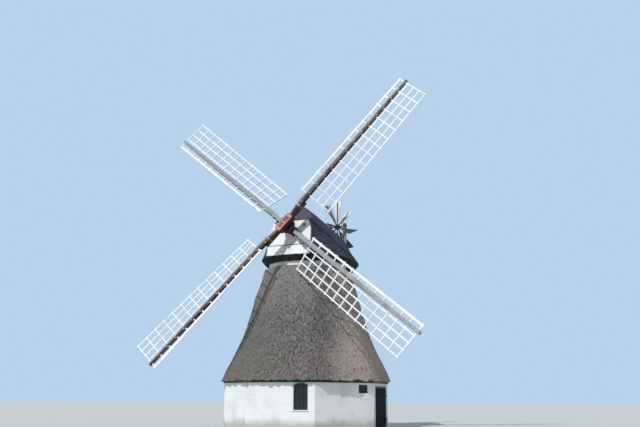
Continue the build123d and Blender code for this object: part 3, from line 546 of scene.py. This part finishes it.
wallCoat = whitewashedBrick("whitewashedBrick", {"radius": 4.15, "length": 0.24, "course": 0.078, "joint": 0.009,
                                                 "wash": "#fafbfc", "dull": "#e4e8ec", "shade": "#9aa5b2",
                                                 "splash": "#a3a394"})
# each stock has a dark strip of painted shade along one long side and part of its front
stockPaint = facedPaint("greyPaintedStock", {"front": "#918c8c", "light": "#a8a1a0", "warm": "#a08e88",
                                             "middle": "#b9a9a8", "shadeStrip": "#26151a", "side": "#1b1216",
                                             "sideLight": "#2e2024"}, shadeStrip=(-armDirections(0)[1], -0.035))
rearStockPaint = facedPaint("greyPaintedRearStock", {"front": "#7f8282", "light": "#949695", "warm": "#8f837c",
                                                     "middle": "#9a9b99", "shadeStrip": "#1f1c1f", "side": "#19171a",
                                                     "sideLight": "#2a282b"}, shadeStrip=(armDirections(1)[1], 0.085))
bandPaint = facedPaint("paleBandPaint", {"front": "#97949a", "light": "#aaa6a6", "warm": "#9a8d88",
                                         "side": "#6f6c6a", "sideLight": "#85827f"})
pollPaint = facedPaint("redOxideCastIron", {"front": "#ab5b56", "light": "#bf7c77", "warm": "#8f4440",
                                            "side": "#2a1218", "sideLight": "#3d1c22", "rim": "#c79c98",
                                            "further": "#3a181d"})
fanTurn = math.radians(fanPlace["turn"])
bladePaint = bladeCoat("whiteAndGreenBladePaint", {"white": "#f4f5f3", "dull": "#d9dcd2", "green": "#1e3a37",
                                                   "faded": "#35524c"},
                       (math.cos(fanTurn), math.sin(fanTurn), 0.0))
fanPostPaint = postPaint("bandedPostPaint", {"foot": "#c9c5c6", "middle": "#2f6a58", "head": "#7e4a3f",
                                             "farHead": "#5d8a8c", "worn": "#8d8480"}, (11.12, 11.5))
fanArmPaint = armPaint("blackIronAndOlivePaint", {"arm": "#6b7050", "worn": "#8b8f70", "iron": "#1b1b1e"},
                       fanPlace["centre"])
oakTimber = bareTimber("weatheredOak", ("#3d3028", "#63503f", "#86715a"))
blackIron = darkIron("blackPaintedIron", {"black": "#17171a", "rust": "#4a2c20"})
floorStone = stoneTiles("stoneFloor", {"first": "#7c756b", "second": "#6b655d", "joint": "#4c4843"})
paneGlass = windowGlass("drawnWindowGlass", {"tint": "#27343a", "clear": 0.35})

finishes = ((wallCoat, [name for name in nodes if name.startswith(("wall_", "door_pier", "door_lintel"))]),
            (smockThatch, [name for name in nodes if name.startswith("smock_panel")]),
            (whiteLaths, [name for name in nodes if name.startswith("sail_")]),
            (oakTimber, ("wall_plate", "glide_blocks", "cap_ring", "sheers", "weather_beam", "tail_beam")),
            (floorStone, ("floor_slab", "threshold")), (doorPaint, ("door_leaf_left", "door_leaf_right")),
            (greenPaint, ("eave_board", "window_frames", "door_frame")), (paneGlass, ("window_panes",)),
            (whiteBoards, ("curb_ring", "front_gable")), (hipThatchCoat, ("front_hip",)),
            (capThatchCoat, ("cap_roof",)), (skirtThatchCoat, ("cap_skirt",)),
            (blackIron, ("windshaft", "door_hinge_pins")), (pollPaint, ("poll_end",)),
            (stockPaint, ("stock_front",)), (rearStockPaint, ("stock_rear",)), (bandPaint, ("stock_bands",)),
            (fanArmPaint, ("fan_shaft",)), (bladePaint, ("fan_blades",)), (fanPostPaint, ("fan_posts",)),
            (redTimber, ("fan_braces",)), (whiteTrim, ("fan_rails",)))
for material, nodeNames in finishes:
    for nodeName in nodeNames:
        nodes[nodeName].data.materials.clear()
        nodes[nodeName].data.materials.append(material)
print("materials")

# Smock: one coat of thatch over all eight faces

smockSetup = {"turn": -14.5, "corners": (4.675, 4.35, 3.65, 3.067, 2.41), "heights": (2.424, 3.15, 4.55, 6.3, 8.43),
              "bevel": 0.975, "softness": 0.03, "coat": 0.36, "wallCorner": 4.392, "wallTop": 2.652,
              "columns": 640, "outerRows": 112, "headRows": 3, "innerRows": 12, "buttRows": 6, "crowding": 1.12,
              "liningHeight": 0.6, "buttInset": 0.03, "swell": 0.016, "ripple": 0.007, "ragged": 0.042,
              "ragHeight": 0.10}


def octagonRadius(bearing, corner, setup):
    # distance from the axis to a face, or to the bevel that cuts the corner, with a soft meeting of the two
    half = math.radians(22.5)
    away = np.abs((bearing - math.radians(setup["turn"])) % (2 * half) - half)
    flat = corner * math.cos(half) / np.cos(away)
    bevelled = corner * setup["bevel"] / np.cos(half - away)
    nearer = np.minimum(flat, bevelled)
    return nearer - setup["softness"] * np.log1p(np.exp(-np.abs(flat - bevelled) / setup["softness"]))


def smockSurface(setup):
    # a loop of profile points carried round the tower: up the outside, over the head, down the inside
    # along the wall, and out under the eave; corner radius and height follow splines
    up = np.linspace(0, 1, setup["outerRows"]) ** setup["crowding"]
    low, high = setup["heights"][0], setup["heights"][-1]
    outerZ = low + (high - low) * up
    outerCorner = naturalSpline(setup["heights"], setup["corners"], outerZ)[:, 0]
    innerZ = np.linspace(high, setup["wallTop"], setup["innerRows"])
    innerCorner = naturalSpline(setup["heights"], setup["corners"], innerZ)[:, 0] - setup["coat"]
    blend = np.clip((innerZ - setup["wallTop"]) / setup["liningHeight"], 0, 1)
    innerCorner = innerCorner * blend + setup["wallCorner"] * (1 - blend)
    headCorner = np.linspace(outerCorner[-1], innerCorner[0], setup["headRows"] + 2)[1:-1]
    buttCorner = np.linspace(setup["wallCorner"], outerCorner[0] - setup["buttInset"], setup["buttRows"])
    corner = np.concatenate((outerCorner, headCorner, innerCorner, buttCorner))
    height = np.concatenate((outerZ, np.full(len(headCorner), high), innerZ, np.full(len(buttCorner), low + 0.004)))
    bearing = np.linspace(0, 2 * math.pi, setup["columns"], endpoint=False)
    radius = octagonRadius(bearing[None, :], corner[:, None], setup)
    z = height[:, None] + np.zeros_like(radius)
    points = np.stack((radius * np.sin(bearing), -radius * np.cos(bearing), z), axis=-1)
    # the outside swells and dips a little; the eave's cut edge is ragged
    outer = np.zeros(len(corner))
    outer[:setup["outerRows"]] = 1
    swell = setup["swell"] * rollingNoise(points, 1.3, 1) + setup["ripple"] * rollingNoise(points, 0.30, 2)
    nearEave = np.exp(-((height - low) / setup["ragHeight"]) ** 2)
    nearEave *= corner > setup["wallCorner"] + setup["buttInset"]
    tatter = 0.6 * rollingNoise(points[:1], 0.42, 3) + 0.7 * rollingNoise(points[:1], 0.14, 4)
    radius = radius + outer[:, None] * swell - nearEave[:, None] * setup["ragged"] * 0.5 * tatter
    z = z + nearEave[:, None] * setup["ragged"] * tatter
    return np.stack((radius * np.sin(bearing), -radius * np.cos(bearing), z), axis=-1)


smockPoints = smockSurface(smockSetup)
addPiece("smockThatch", smockPoints.reshape(-1, 3), gridFaces(*smockPoints.shape[:2], True, True), smockThatch,
         "tower", "thatch_smock", tuple(f"smock_panel_{i + 1}" for i in range(8)), smooth=True)
print("smock thatch")

# Cap: thatch over the roof, and the tapered skirt under its edge

capSetup = {"stations": (-2.65, -1.3, 0, 1.5, 2.65, 3.7),
            "halfBottom": (0.97, 2.2, 2.55, 2.37, 1.89, 0.88), "halfLow": (0.91, 1.88, 2.13, 1.96, 1.58, 0.9),
            "lowZ": (9.5, 9.5, 9.5, 9.5, 9.45, 9.22), "halfShoulder": (0.70, 1.42, 1.56, 1.41, 1.12, 0.70),
            "shoulderZ": (11.05, 10.45, 10.28, 10.36, 10.3, 9.74), "ridgeZ": (12.08, 12.0, 11.92, 11.6, 10.95, 9.9),
            "bottom": 8.9603, "gableFoot": -2.438, "gableLean": 14.0, "gableTop": 10.86, "hipSlope": 36.0,
            "behind": 0.062, "meetingRounds": 8, "rearEnd": 3.94, "rearTurn": 88, "columns": 181,
            "rows": 120, "rearRows": 10, "shell": 0.20, "stand": 0.012, "swell": 0.016, "ripple": 0.006}


def capSections(setup):
    # each station's outline from the left foot over the ridge to the right foot, as (half width, height)
    share = np.linspace(0, 1, setup["columns"] // 2 + 1)
    sections = []
    rows = zip(setup["halfBottom"], setup["halfLow"], setup["lowZ"], setup["halfShoulder"], setup["shoulderZ"],
               setup["ridgeZ"])
    for halfBottom, halfLow, lowZ, halfShoulder, shoulderZ, ridgeZ in rows:
        marks = np.array(((halfBottom, setup["bottom"]), (halfLow, lowZ), (halfShoulder, shoulderZ), (0, ridgeZ)))
        knots = np.concatenate(((0,), np.cumsum(np.linalg.norm(np.diff(marks, axis=0), axis=1))))
        sections.append(naturalSpline(knots, marks, share * knots[-1]))
    right = np.array(sections)
    left = right[:, :-1] * np.array((-1, 1))
    return np.concatenate((left, right[:, ::-1]), axis=1)


def frontEdge(setup, sections):
    # where each line of the roof meets the gable's leaning plane, or above it the hip's sloping one; found in
    # a few rounds, because each line's height changes along the cap
    lean, slope = math.radians(setup["gableLean"]), math.radians(setup["hipSlope"])
    edgeY = setup["gableFoot"] + (setup["gableTop"] - setup["bottom"]) * math.tan(lean)
    y = np.full(sections.shape[1], setup["gableFoot"])
    for meetingRound in range(setup["meetingRounds"]):
        z = naturalSpline(setup["stations"], sections[:, :, 1], y[None, :])[0]
        onGable = setup["gableFoot"] + (z - setup["bottom"]) * math.tan(lean) + setup["behind"]
        onHip = edgeY + (z - setup["gableTop"]) / math.tan(slope)
        y = np.where(z < setup["gableTop"], onGable, np.maximum(onHip, onGable))
    return y


def capSurface(setup):
    # the stations' outlines joined by splines along the cap, then drawn in to a point at the rear
    sections = capSections(setup)
    front = frontEdge(setup, sections)
    share = np.linspace(0, 1, setup["rows"])[:, None]
    lastY = setup["stations"][-1]
    y = front[None, :] + (lastY - front[None, :]) * share
    x = naturalSpline(setup["stations"], sections[:, :, 0], y)
    z = naturalSpline(setup["stations"], sections[:, :, 1], y)
    turn = np.linspace(0, 1, setup["rearRows"] + 1)[1:, None] * math.radians(setup["rearTurn"])
    rearY = lastY + (setup["rearEnd"] - lastY) * np.sin(turn) + 0 * x[-1:]
    rearX = x[-1:] * np.cos(turn)
    rearZ = setup["bottom"] + (z[-1:] - setup["bottom"]) * np.cos(turn)
    return np.stack((np.concatenate((x, rearX)), np.concatenate((y, rearY)), np.concatenate((z, rearZ))), axis=-1)


def surfaceNormals(points):
    # cross product of the two directions of the grid
    down, across = np.gradient(points, axis=0), np.gradient(points, axis=1)
    normal = np.cross(across, down)
    return normal / np.maximum(np.linalg.norm(normal, axis=-1, keepdims=True), 1e-9)


capPoints = capSurface(capSetup)
capNormals = surfaceNormals(capPoints)
if capNormals[20, capSetup["columns"] // 2, 2] < 0:
    capNormals = -capNormals
capSwell = capSetup["swell"] * rollingNoise(capPoints, 1.1, 11)
capSwell += capSetup["ripple"] * rollingNoise(capPoints, 0.28, 12) + capSetup["stand"]
capSwollen = capPoints + capNormals * capSwell[..., None]
capRoof = addPiece("capThatch", capSwollen.reshape(-1, 3), gridFaces(*capPoints.shape[:2]), capThatchCoat, "cap",
                   "thatch_cap", ("cap_roof",), smooth=True)
shellThickness = capRoof.modifiers.new("coatThickness", "SOLIDIFY")
shellThickness.thickness = capSetup["shell"]
shellThickness.offset = -1 if capRoof.data.polygons[0].normal.dot(Vector(capNormals[0, 0])) > 0 else 1

skirtSetup = {"side": 2.52, "front": 2.45, "rear": 4.1, "top": 8.9603, "columns": 520, "ragged": 0.045,
              "thick": 0.27, "ragOver": 0.15,
              "profile": ((-0.27, 0.0), (-0.12, 0.004), (-0.035, 0.012), (-0.004, -0.012), (0.0, -0.045),
                          (-0.025, -0.085), (-0.07, -0.14), (-0.125, -0.20), (-0.18, -0.265), (-0.225, -0.305),
                          (-0.255, -0.305), (-0.27, -0.28), (-0.27, -0.1))}


def skirtSurface(setup):
    # a closed profile carried round a half ellipse in front and a longer one behind
    turn = np.linspace(0, 2 * math.pi, setup["columns"], endpoint=False)
    inset = np.array([point[0] for point in setup["profile"]])[:, None]
    z = setup["top"] + np.array([point[1] for point in setup["profile"]])[:, None]
    reach = np.where(np.sin(turn) > 0, setup["rear"], setup["front"])
    x, y = (setup["side"] + inset) * np.cos(turn), (reach + inset) * np.sin(turn)
    points = np.stack((x, y, z + 0 * x), axis=-1)
    tatter = setup["ragged"] * (0.6 * rollingNoise(points, 0.45, 21) + 0.6 * rollingNoise(points, 0.13, 22))
    tatter *= np.clip((inset + setup["thick"]) / setup["ragOver"], 0, 1)     # none at the inner edge
    shift = np.stack((np.cos(turn) + 0 * z, np.sin(turn) + 0 * z, (z < setup["top"] - 0.005) + 0 * x), axis=-1)
    return points + tatter[..., None] * shift


skirtPoints = skirtSurface(skirtSetup)
addPiece("skirtThatch", skirtPoints.reshape(-1, 3), gridFaces(*skirtPoints.shape[:2], True, True), skirtThatchCoat,
         "cap", "thatch_cap", ("cap_skirt",), smooth=True)
print("cap thatch")

# Gable: a boarded front with a proud lower part, a louvred hatch, and a dark board along the right edge

gableSetup = {"insetRight": 0.012, "outsetLeft": 0.03, "boardThickness": 0.06}
lean = math.radians(capSetup["gableLean"])
gableFoot = np.array((0, capSetup["gableFoot"], capSetup["bottom"]))
gableUp = np.array((0, math.sin(lean), math.cos(lean)))
gableOut = np.array((0, -math.cos(lean), math.sin(lean)))


def gablePoint(across, up, out=0.0):
    # a point of the leaning front: across it from its middle, up along it from its foot, and out from it
    return gableFoot + np.array((across, 0, 0)) + gableUp * up + gableOut * out


def gableBoards(setup):
    # the roof's front edge below the hip, moved a little to the left at both sides, drawn on to the leaning
    # plane along its normal and given a thickness
    edge = capPoints[0][capPoints[0, :, 2] < capSetup["gableTop"] + 0.001]
    left, right = edge[edge[:, 0] < 0], edge[edge[:, 0] > 0]
    left, right = left[np.argsort(left[:, 2])], right[np.argsort(-right[:, 2])]
    outline = np.concatenate((left - (setup["outsetLeft"], 0, 0), right - (setup["insetRight"], 0, 0)))
    outline -= np.outer((outline - gableFoot) @ gableOut, gableOut)
    return prism(outline, -gableOut * setup["boardThickness"])


trimSetup = {"low": 0.01, "high": 0.545, "half": 1.27, "thickness": 0.035, "ledgeHeight": 0.03, "ledgeOut": 0.02,
             "ledgeOver": 0.01}


def gableTrim(setup):
    # a flat apron over the lower part, and a bar along its top that stands out further and is a bit longer
    half, low, high, thick = (setup[key] for key in ("half", "low", "high", "thickness"))
    apron = prism([gablePoint(-half, low), gablePoint(half, low), gablePoint(half, high), gablePoint(-half, high)],
                  gableOut * thick)
    reach, level = half + setup["ledgeOver"], thick / 2 + 0.008
    ledge = sweptBar(gablePoint(-reach, high, level), gablePoint(reach, high, level), gableOut,
                     setup["ledgeHeight"], thick + setup["ledgeOut"])
    return apron, ledge


hatchSetup = {"place": (0.74, 1.66), "width": 0.24, "height": 0.22, "rim": 0.04, "rimOut": 0.012, "slats": 4,
              "slat": 0.045, "slatThickness": 0.01, "slatOut": 0.008}


def gableHatch(setup):
    # four bars round an opening, and slats across it whose faces look outwards and up
    x, up = setup["place"]
    w, h, out = setup["width"] / 2, setup["height"] / 2, setup["rimOut"]
    ends = [((x - w, up + side * h), (x + w, up + side * h)) for side in (-1, 1)]
    ends += [((x + side * w, up - h), (x + side * w, up + h)) for side in (-1, 1)]
    rims = [sweptBar(gablePoint(*start, out), gablePoint(*end, out), gableOut, setup["rim"], setup["rim"])
            for start, end in ends]
    slats = []
    for index in range(setup["slats"]):
        level = up - h + (index + 0.5) * 2 * h / setup["slats"]
        slats.append(sweptBar(gablePoint(x - w, level, setup["slatOut"]), gablePoint(x + w, level, setup["slatOut"]),
                              gableOut * 0.8 + gableUp * 0.6, setup["slat"], setup["slatThickness"], 0.002))
    return joined(rims), joined(slats)


vergeSetup = {"ahead": 0.085, "behind": 0.03, "inside": 0.03, "outside": 0.045}


def vergeBoard(setup):
    # a flat strip that follows the right front edge of the roof, just outside the thatch
    edge = capPoints[0][(capPoints[0, :, 2] < capSetup["gableTop"]) & (capPoints[0, :, 0] > 0)]
    edge = edge[np.argsort(edge[:, 2])]
    back = np.array((0, 1.0, 0))
    out = unit(np.cross(unit(np.gradient(edge, axis=0)), back))
    out *= np.sign(out[:, :1])
    inner, outer = edge - out * setup["inside"], edge + out * setup["outside"]
    front, rear = back * -setup["ahead"], back * setup["behind"]
    rings = np.stack((inner + front, outer + front, outer + rear, inner + rear), axis=1)
    return rings.reshape(-1, 3), tubeFaces(len(edge), 4)


apron, ledge = gableTrim(trimSetup)
hatchRim, hatchSlats = gableHatch(hatchSetup)
addPiece("gableBoards", *gableBoards(gableSetup), whiteBoards, "cap", "white_boards", ("front_gable",))
addPiece("gableApron", *apron, whiteBoards, "cap", "white_boards")
# the ledge takes the grey stock paint with its dark sides, a painted shadow line across the gable
addPiece("gableLedgePaintedShadow", *ledge, rearStockPaint, "cap", "white_boards")
addPiece("gableHatchFrame", *hatchRim, whiteTrim, "cap", "white_boards")
addPiece("gableHatchLouvre", *hatchSlats, stockPaint, "cap", "white_boards")
addPiece("gableVergeBoards", *vergeBoard(vergeSetup), blackPaint, "cap", "white_boards")
print("gable")

# Sails: panels, raised rims, a round neck and bolts on the poll end, wedges and straps on the whips

def sailPoint(quarter, along, across, ahead=0.0):
    # a point on one arm: along the arm, across it, and ahead of the hub, with the rear pair set back
    arm, beside = armDirections(quarter)
    level = ahead - (sailSetup["spacing"] if quarter % 2 else 0)
    return np.array(sailSetup["hub"]) + arm * along + beside * across + shaftAxis * level


panelSetup = {"places": (0.13, 0.31), "length": 0.13, "width": 0.12, "thickness": 0.014, "level": 0.004}


def pollPanels(setup):
    # dark plates on the front box, two to each side of the centre bolt
    parts = []
    for quarter in (0, 2):
        for place in setup["places"]:
            ends = [sailPoint(quarter, place + side * setup["length"] / 2, 0, setup["level"]) for side in (-1, 1)]
            parts.append(sweptBar(*ends, shaftAxis, setup["width"], setup["thickness"], 0.003))
    return joined(parts)


lipSetup = {"from": 0.44, "to": 0.53, "half": 0.185, "front": -0.02, "back": -0.36, "plate": 0.03}


def pollLips(setup):
    # a raised frame of four plates round the stock at each end of the front box
    middle, length = (setup["from"] + setup["to"]) / 2, setup["to"] - setup["from"]
    half, front, back = setup["half"], setup["front"], setup["back"]
    edges = (((-half, front), (-half, back)), ((half, front), (half, back)),
             ((-half, front), (half, front)), ((-half, back), (half, back)))
    return joined([sweptBar(sailPoint(quarter, middle, *start), sailPoint(quarter, middle, *end),
                            armDirections(quarter)[0], setup["plate"], length)
                   for quarter in (0, 2) for start, end in edges])


neckSetup = {"from": -0.375, "to": -0.565, "radius": 0.43, "bevel": 0.015, "bevelled": 0.96, "sides": 20}


def pollNeck(setup):
    # a round flange between the front box and the rear one, its two edges bevelled
    radius, bevel, small = setup["radius"], setup["bevel"], setup["radius"] * setup["bevelled"]
    levels = ((setup["from"], small), (setup["from"] - bevel, radius), (setup["to"] + bevel, radius),
              (setup["to"], small))
    return roundHead(np.array(sailSetup["hub"]), shaftAxis, armDirections(0)[0], levels, setup["sides"])


boltSetup = {"radius": 0.021, "height": 0.016, "along": (0.055, 0.19, 0.33, 0.425), "across": 0.178, "sides": 6,
             "facing": (0.3, 0.2, 0.93)}


def pollBolts(setup):
    # six-sided heads with smaller outer faces, in rows along both edges of each box
    radius, height = setup["radius"], setup["height"]
    first = unit(np.cross(shaftAxis, setup["facing"]))
    levels = ((-0.004, radius), (height * 0.7, radius), (height, radius * 0.8))
    return joined([roundHead(sailPoint(quarter, along, side * setup["across"]), shaftAxis, first, levels,
                             setup["sides"])
                   for quarter in range(4) for along in setup["along"] for side in (-1, 1)])


wedgeSetup = {"from": 0.56, "to": 1.115, "low": -0.024, "high": 0.094, "thin": 0.03, "thick": 0.15,
              "widthFrom": 0.212, "widthTo": 0.284}


def whipWedges(setup, quarters):
    # a tapered block on the stock's front, from near the poll end up to the whip's root
    parts = []
    for quarter in quarters:
        start = sailPoint(quarter, setup["from"], 0, setup["low"] - setup["thin"] / 2)
        end = sailPoint(quarter, setup["to"], 0, setup["high"] - setup["thick"] / 2)
        parts.append(sweptBar(start, end, shaftAxis, setup["widthFrom"], setup["thin"], 0.004,
                              setup["widthTo"], setup["thick"]))
    return joined(parts)


clampSetup = {"first": 1.45, "step": 0.611, "count": 14, "width": 0.035, "thickness": 0.010, "out": 0.006,
              "whipRoot": 1.1, "whipTip": 10.05, "rootWidth": 0.29, "tipWidth": 0.17, "front": 0.06, "dish": 0.26}


def whipClamps(setup):
    # thin iron straps across the front of each whip, a little proud of it, at even steps along its taper
    parts = []
    for quarter in range(4):
        for along in setup["first"] + setup["step"] * np.arange(setup["count"]):
            share = (along - setup["whipRoot"]) / (setup["whipTip"] - setup["whipRoot"])
            width = setup["rootWidth"] + (setup["tipWidth"] - setup["rootWidth"]) * share
            ahead = setup["dish"] * along / setup["whipTip"] + setup["front"] + setup["out"] / 2
            ends = [sailPoint(quarter, along, side * (width / 2 + setup["out"]), ahead) for side in (-1, 1)]
            parts.append(sweptBar(*ends, shaftAxis, setup["width"], setup["thickness"], 0.001))
    return joined(parts)


addPiece("pollPanels", *pollPanels(panelSetup), panelPaint, "sails", "cast_iron_red")
addPiece("pollLips", *pollLips(lipSetup), pollPaint, "sails", "cast_iron_red")
addPiece("pollNeck", *pollNeck(neckSetup), neckPaint, "sails", "cast_iron_red")
addPiece("pollBolts", *pollBolts(boltSetup), blackIron, "sails", "dark_iron")
addPiece("frontWhipWedges", *whipWedges(wedgeSetup, (0, 2)), stockPaint, "sails", "grey_paint")
addPiece("rearWhipWedges", *whipWedges(wedgeSetup, (1, 3)), rearStockPaint, "sails", "grey_paint")
addPiece("whipClamps", *whipClamps(clampSetup), bandPaint, "sails", "dark_iron")
print("sails")

# Windows: glazing bars, a pale moulding over each arch, and a sill under it

windowSetup = {"apothem": 4.0521, "archBearings": (8, 188), "smallBearings": (53, 233),
               "arch": {"offset": 0.95, "half": 0.31, "low": 1.06, "high": 2.232, "columns": 3, "rows": 5},
               "small": {"offset": 1.07, "half": 0.21, "low": 1.875, "high": 2.165, "columns": 2, "rows": 2}}


def wallPoint(bearing, across, height, inward=0.0):
    # points on a face of the base wall: across it from its middle, at a height, and inward from its outside
    turn = math.radians(bearing)
    right, out, up = (math.cos(turn), math.sin(turn), 0), (math.sin(turn), -math.cos(turn), 0), (0, 0, 1)
    return (np.multiply.outer(across, right) + np.multiply.outer(height, up)
            + np.array(out) * (windowSetup["apothem"] - inward))


def wallOut(bearing):
    # outwards from a face, with length one
    return wallPoint(bearing, 0, 0) / windowSetup["apothem"]


barSetup = {"width": 0.026, "depth": 0.034, "level": 0.117, "over": 0.006}


def glazingBars(setup):
    # bars between the panes of each window: upright ones at even steps across it, and thinner ones across
    # them at even steps up it
    kinds = [(bearing, windowSetup["arch"]) for bearing in windowSetup["archBearings"]]
    kinds += [(bearing, windowSetup["small"]) for bearing in windowSetup["smallBearings"]]
    width, depth, level, over = (setup[key] for key in ("width", "depth", "level", "over"))
    parts = []
    for bearing, kind in kinds:
        left, right = kind["offset"] - kind["half"], kind["offset"] + kind["half"]
        for across in np.linspace(left, right, kind["columns"] + 1)[1:-1]:
            ends = [wallPoint(bearing, across, height, level) for height in (kind["low"] - over, kind["high"])]
            parts.append(sweptBar(*ends, wallOut(bearing), width, depth, 0.006))
        for height in np.linspace(kind["low"], kind["high"], kind["rows"] + 1)[1:-1]:
            ends = [wallPoint(bearing, across, height, level) for across in (left - over, right + over)]
            parts.append(sweptBar(*ends, wallOut(bearing), width * 0.8, depth * 0.9, 0.006))
    return joined(parts)


mouldingSetup = {"half": 0.40, "spring": 2.175, "rise": 0.135, "width": 0.035, "proud": 0.022, "points": 25}


def archMouldings(setup):
    # a strip carried along the arc over each arched window; the arc's radius follows from its half width
    # and its rise
    half, rise, proud = setup["half"], setup["rise"], setup["proud"]
    radius = (half ** 2 + rise ** 2) / (2 * rise)
    across = np.linspace(-half, half, setup["points"])
    height = setup["spring"] + rise - radius + np.sqrt(radius ** 2 - across ** 2)
    parts = []
    for bearing in windowSetup["archBearings"]:
        points = wallPoint(bearing, windowSetup["arch"]["offset"] + across, height, 0.004 - proud / 2)
        parts.append(sweptPath(points, np.tile(wallOut(bearing), (len(points), 1)), setup["width"], proud))
    return joined(parts)


sillSetup = {"half": 0.43, "top": 0.998, "height": 0.05, "depth": 0.10}


def windowSills(setup):
    # a stone bar under each arched window, half of it let into the wall
    parts = []
    for bearing in windowSetup["archBearings"]:
        ends = [wallPoint(bearing, windowSetup["arch"]["offset"] + side * setup["half"],
                          setup["top"] - setup["height"] / 2, 0.05 - setup["depth"] / 2) for side in (-1, 1)]
        parts.append(sweptBar(*ends, wallOut(bearing), setup["height"], setup["depth"], 0.008))
    return joined(parts)


addPiece("glazingBars", *glazingBars(barSetup), greenPaint, "tower", "green_paint")
addPiece("archMouldings", *archMouldings(mouldingSetup), paleGreenPaint, "tower", "green_paint")
addPiece("windowSills", *windowSills(sillSetup), whiteTrim, "tower", "white_masonry")
print("windows")

# Fantail: the boards on its arms, and the battens behind them

fanSetup = {"blades": 8, "boards": 3, "pitch": -12.0, "root": 0.36, "tip": 1.6, "rootSpread": 0.06,
            "tipSpread": 0.37, "armFace": 0.031, "thickness": 0.02, "gap": 0.006, "battens": (0.55, 1.42),
            "battenWidth": 0.035, "battenDepth": 0.012, "battenShare": 0.94}


def fanPoint(index, across, along, ahead):
    # points of one blade: pitched about its length, turned about the axle, then turned with the whole fan
    pitch, turn = math.radians(fanSetup["pitch"]), 2 * math.pi * index / fanSetup["blades"]
    x = across * math.cos(pitch) - ahead * math.sin(pitch)
    y = across * math.sin(pitch) + ahead * math.cos(pitch)
    y, z = y * math.cos(turn) - along * math.sin(turn), y * math.sin(turn) + along * math.cos(turn)
    x, y = x * math.cos(fanTurn) - y * math.sin(fanTurn), x * math.sin(fanTurn) + y * math.cos(fanTurn)
    return np.stack((x, y, z), axis=-1) + fanPlace["centre"]


def fanBoards(setup):
    # tapered boards side by side on each arm, with narrow gaps between them; each board's eight corners are
    # its two edges at the root and at the tip, on the side of the arm and on the other side
    boards, parts = setup["boards"], []
    level = np.repeat((setup["armFace"], setup["armFace"] + setup["thickness"]), 4)
    along = np.tile(np.repeat((setup["root"], setup["tip"]), 2), 2)
    spread = np.tile(np.repeat((setup["rootSpread"], setup["tipSpread"]), 2), 2)
    faces = [(0, 2, 3, 1), (4, 5, 7, 6), (0, 1, 5, 4), (2, 6, 7, 3), (0, 4, 6, 2), (1, 3, 7, 5)]
    for index in range(setup["blades"]):
        for board in range(boards):
            edges = (-1 + board * 2 / boards, -1 + (board + 1) * 2 / boards)
            gaps = (setup["gap"] / 2 if board else 0, -setup["gap"] / 2 if board < boards - 1 else 0)
            across = np.tile(edges, 4) * spread + np.tile(gaps, 4)
            parts.append((fanPoint(index, across, along, level), faces))
    return joined(parts)


def fanClips(setup):
    # two cross battens behind the boards of each blade, nearly as long as the blade is wide there
    parts = []
    level = setup["armFace"] + setup["thickness"] + setup["battenDepth"] / 2 - 0.001
    for index in range(setup["blades"]):
        normal = fanPoint(index, 0, 1, 1) - fanPoint(index, 0, 1, 0)
        for along in setup["battens"]:
            share = (along - setup["root"]) / (setup["tip"] - setup["root"])
            half = setup["rootSpread"] + (setup["tipSpread"] - setup["rootSpread"]) * share
            ends = [fanPoint(index, side * setup["battenShare"] * half, along, level) for side in (-1, 1)]
            parts.append(sweptBar(*ends, normal, setup["battenWidth"], setup["battenDepth"]))
    return joined(parts)


addPiece("fanBoards", *fanBoards(fanSetup), bladePaint, "fan", "fan_paint", ("fan_blades",))
addPiece("fanClips", *fanClips(fanSetup), bladePaint, "fan", "fan_paint")

# Ladder on the thatch, from the fantail up the rear of the ridge

ladderSetup = {"fromY": 1.9, "toY": 3.62, "half": 0.20, "stand": 0.13, "rail": 0.055, "rung": 0.04, "rungStep": 5,
               "footReach": 0.14}


def ridgeLadder(setup):
    # two rails that follow the ridge at a height above the thatch, rungs between them at even steps along
    # it, and three feet under each rail that run down into the thatch
    middle = capSetup["columns"] // 2
    line, normal = capSwollen[:, middle], capNormals[:, middle]
    chosen = (line[:, 1] > setup["fromY"]) & (line[:, 1] < setup["toY"])
    line, normal = line[chosen], normal[chosen]
    lifted, parts = line + normal * setup["stand"], []
    for side in (-1, 1):
        shift = np.array((side * setup["half"], 0, 0))
        parts.append(sweptPath(lifted + shift, normal, setup["rail"], setup["rail"]))
        for index in (2, len(line) // 2, len(line) - 3):
            foot = line[index] + shift - normal[index] * setup["footReach"]
            parts.append(sweptBar(lifted[index] + shift, foot, (1, 0, 0), setup["rung"], setup["rung"]))
    reach = np.array((setup["half"], 0, 0))
    for index in range(1, len(line) - 1, setup["rungStep"]):
        parts.append(sweptBar(lifted[index] - reach, lifted[index] + reach, normal[index],
                              setup["rung"], setup["rung"]))
    return joined(parts)


addPiece("ridgeLadder", *ridgeLadder(ladderSetup), whiteTrim, "cap", "white_boards")
print("fantail")
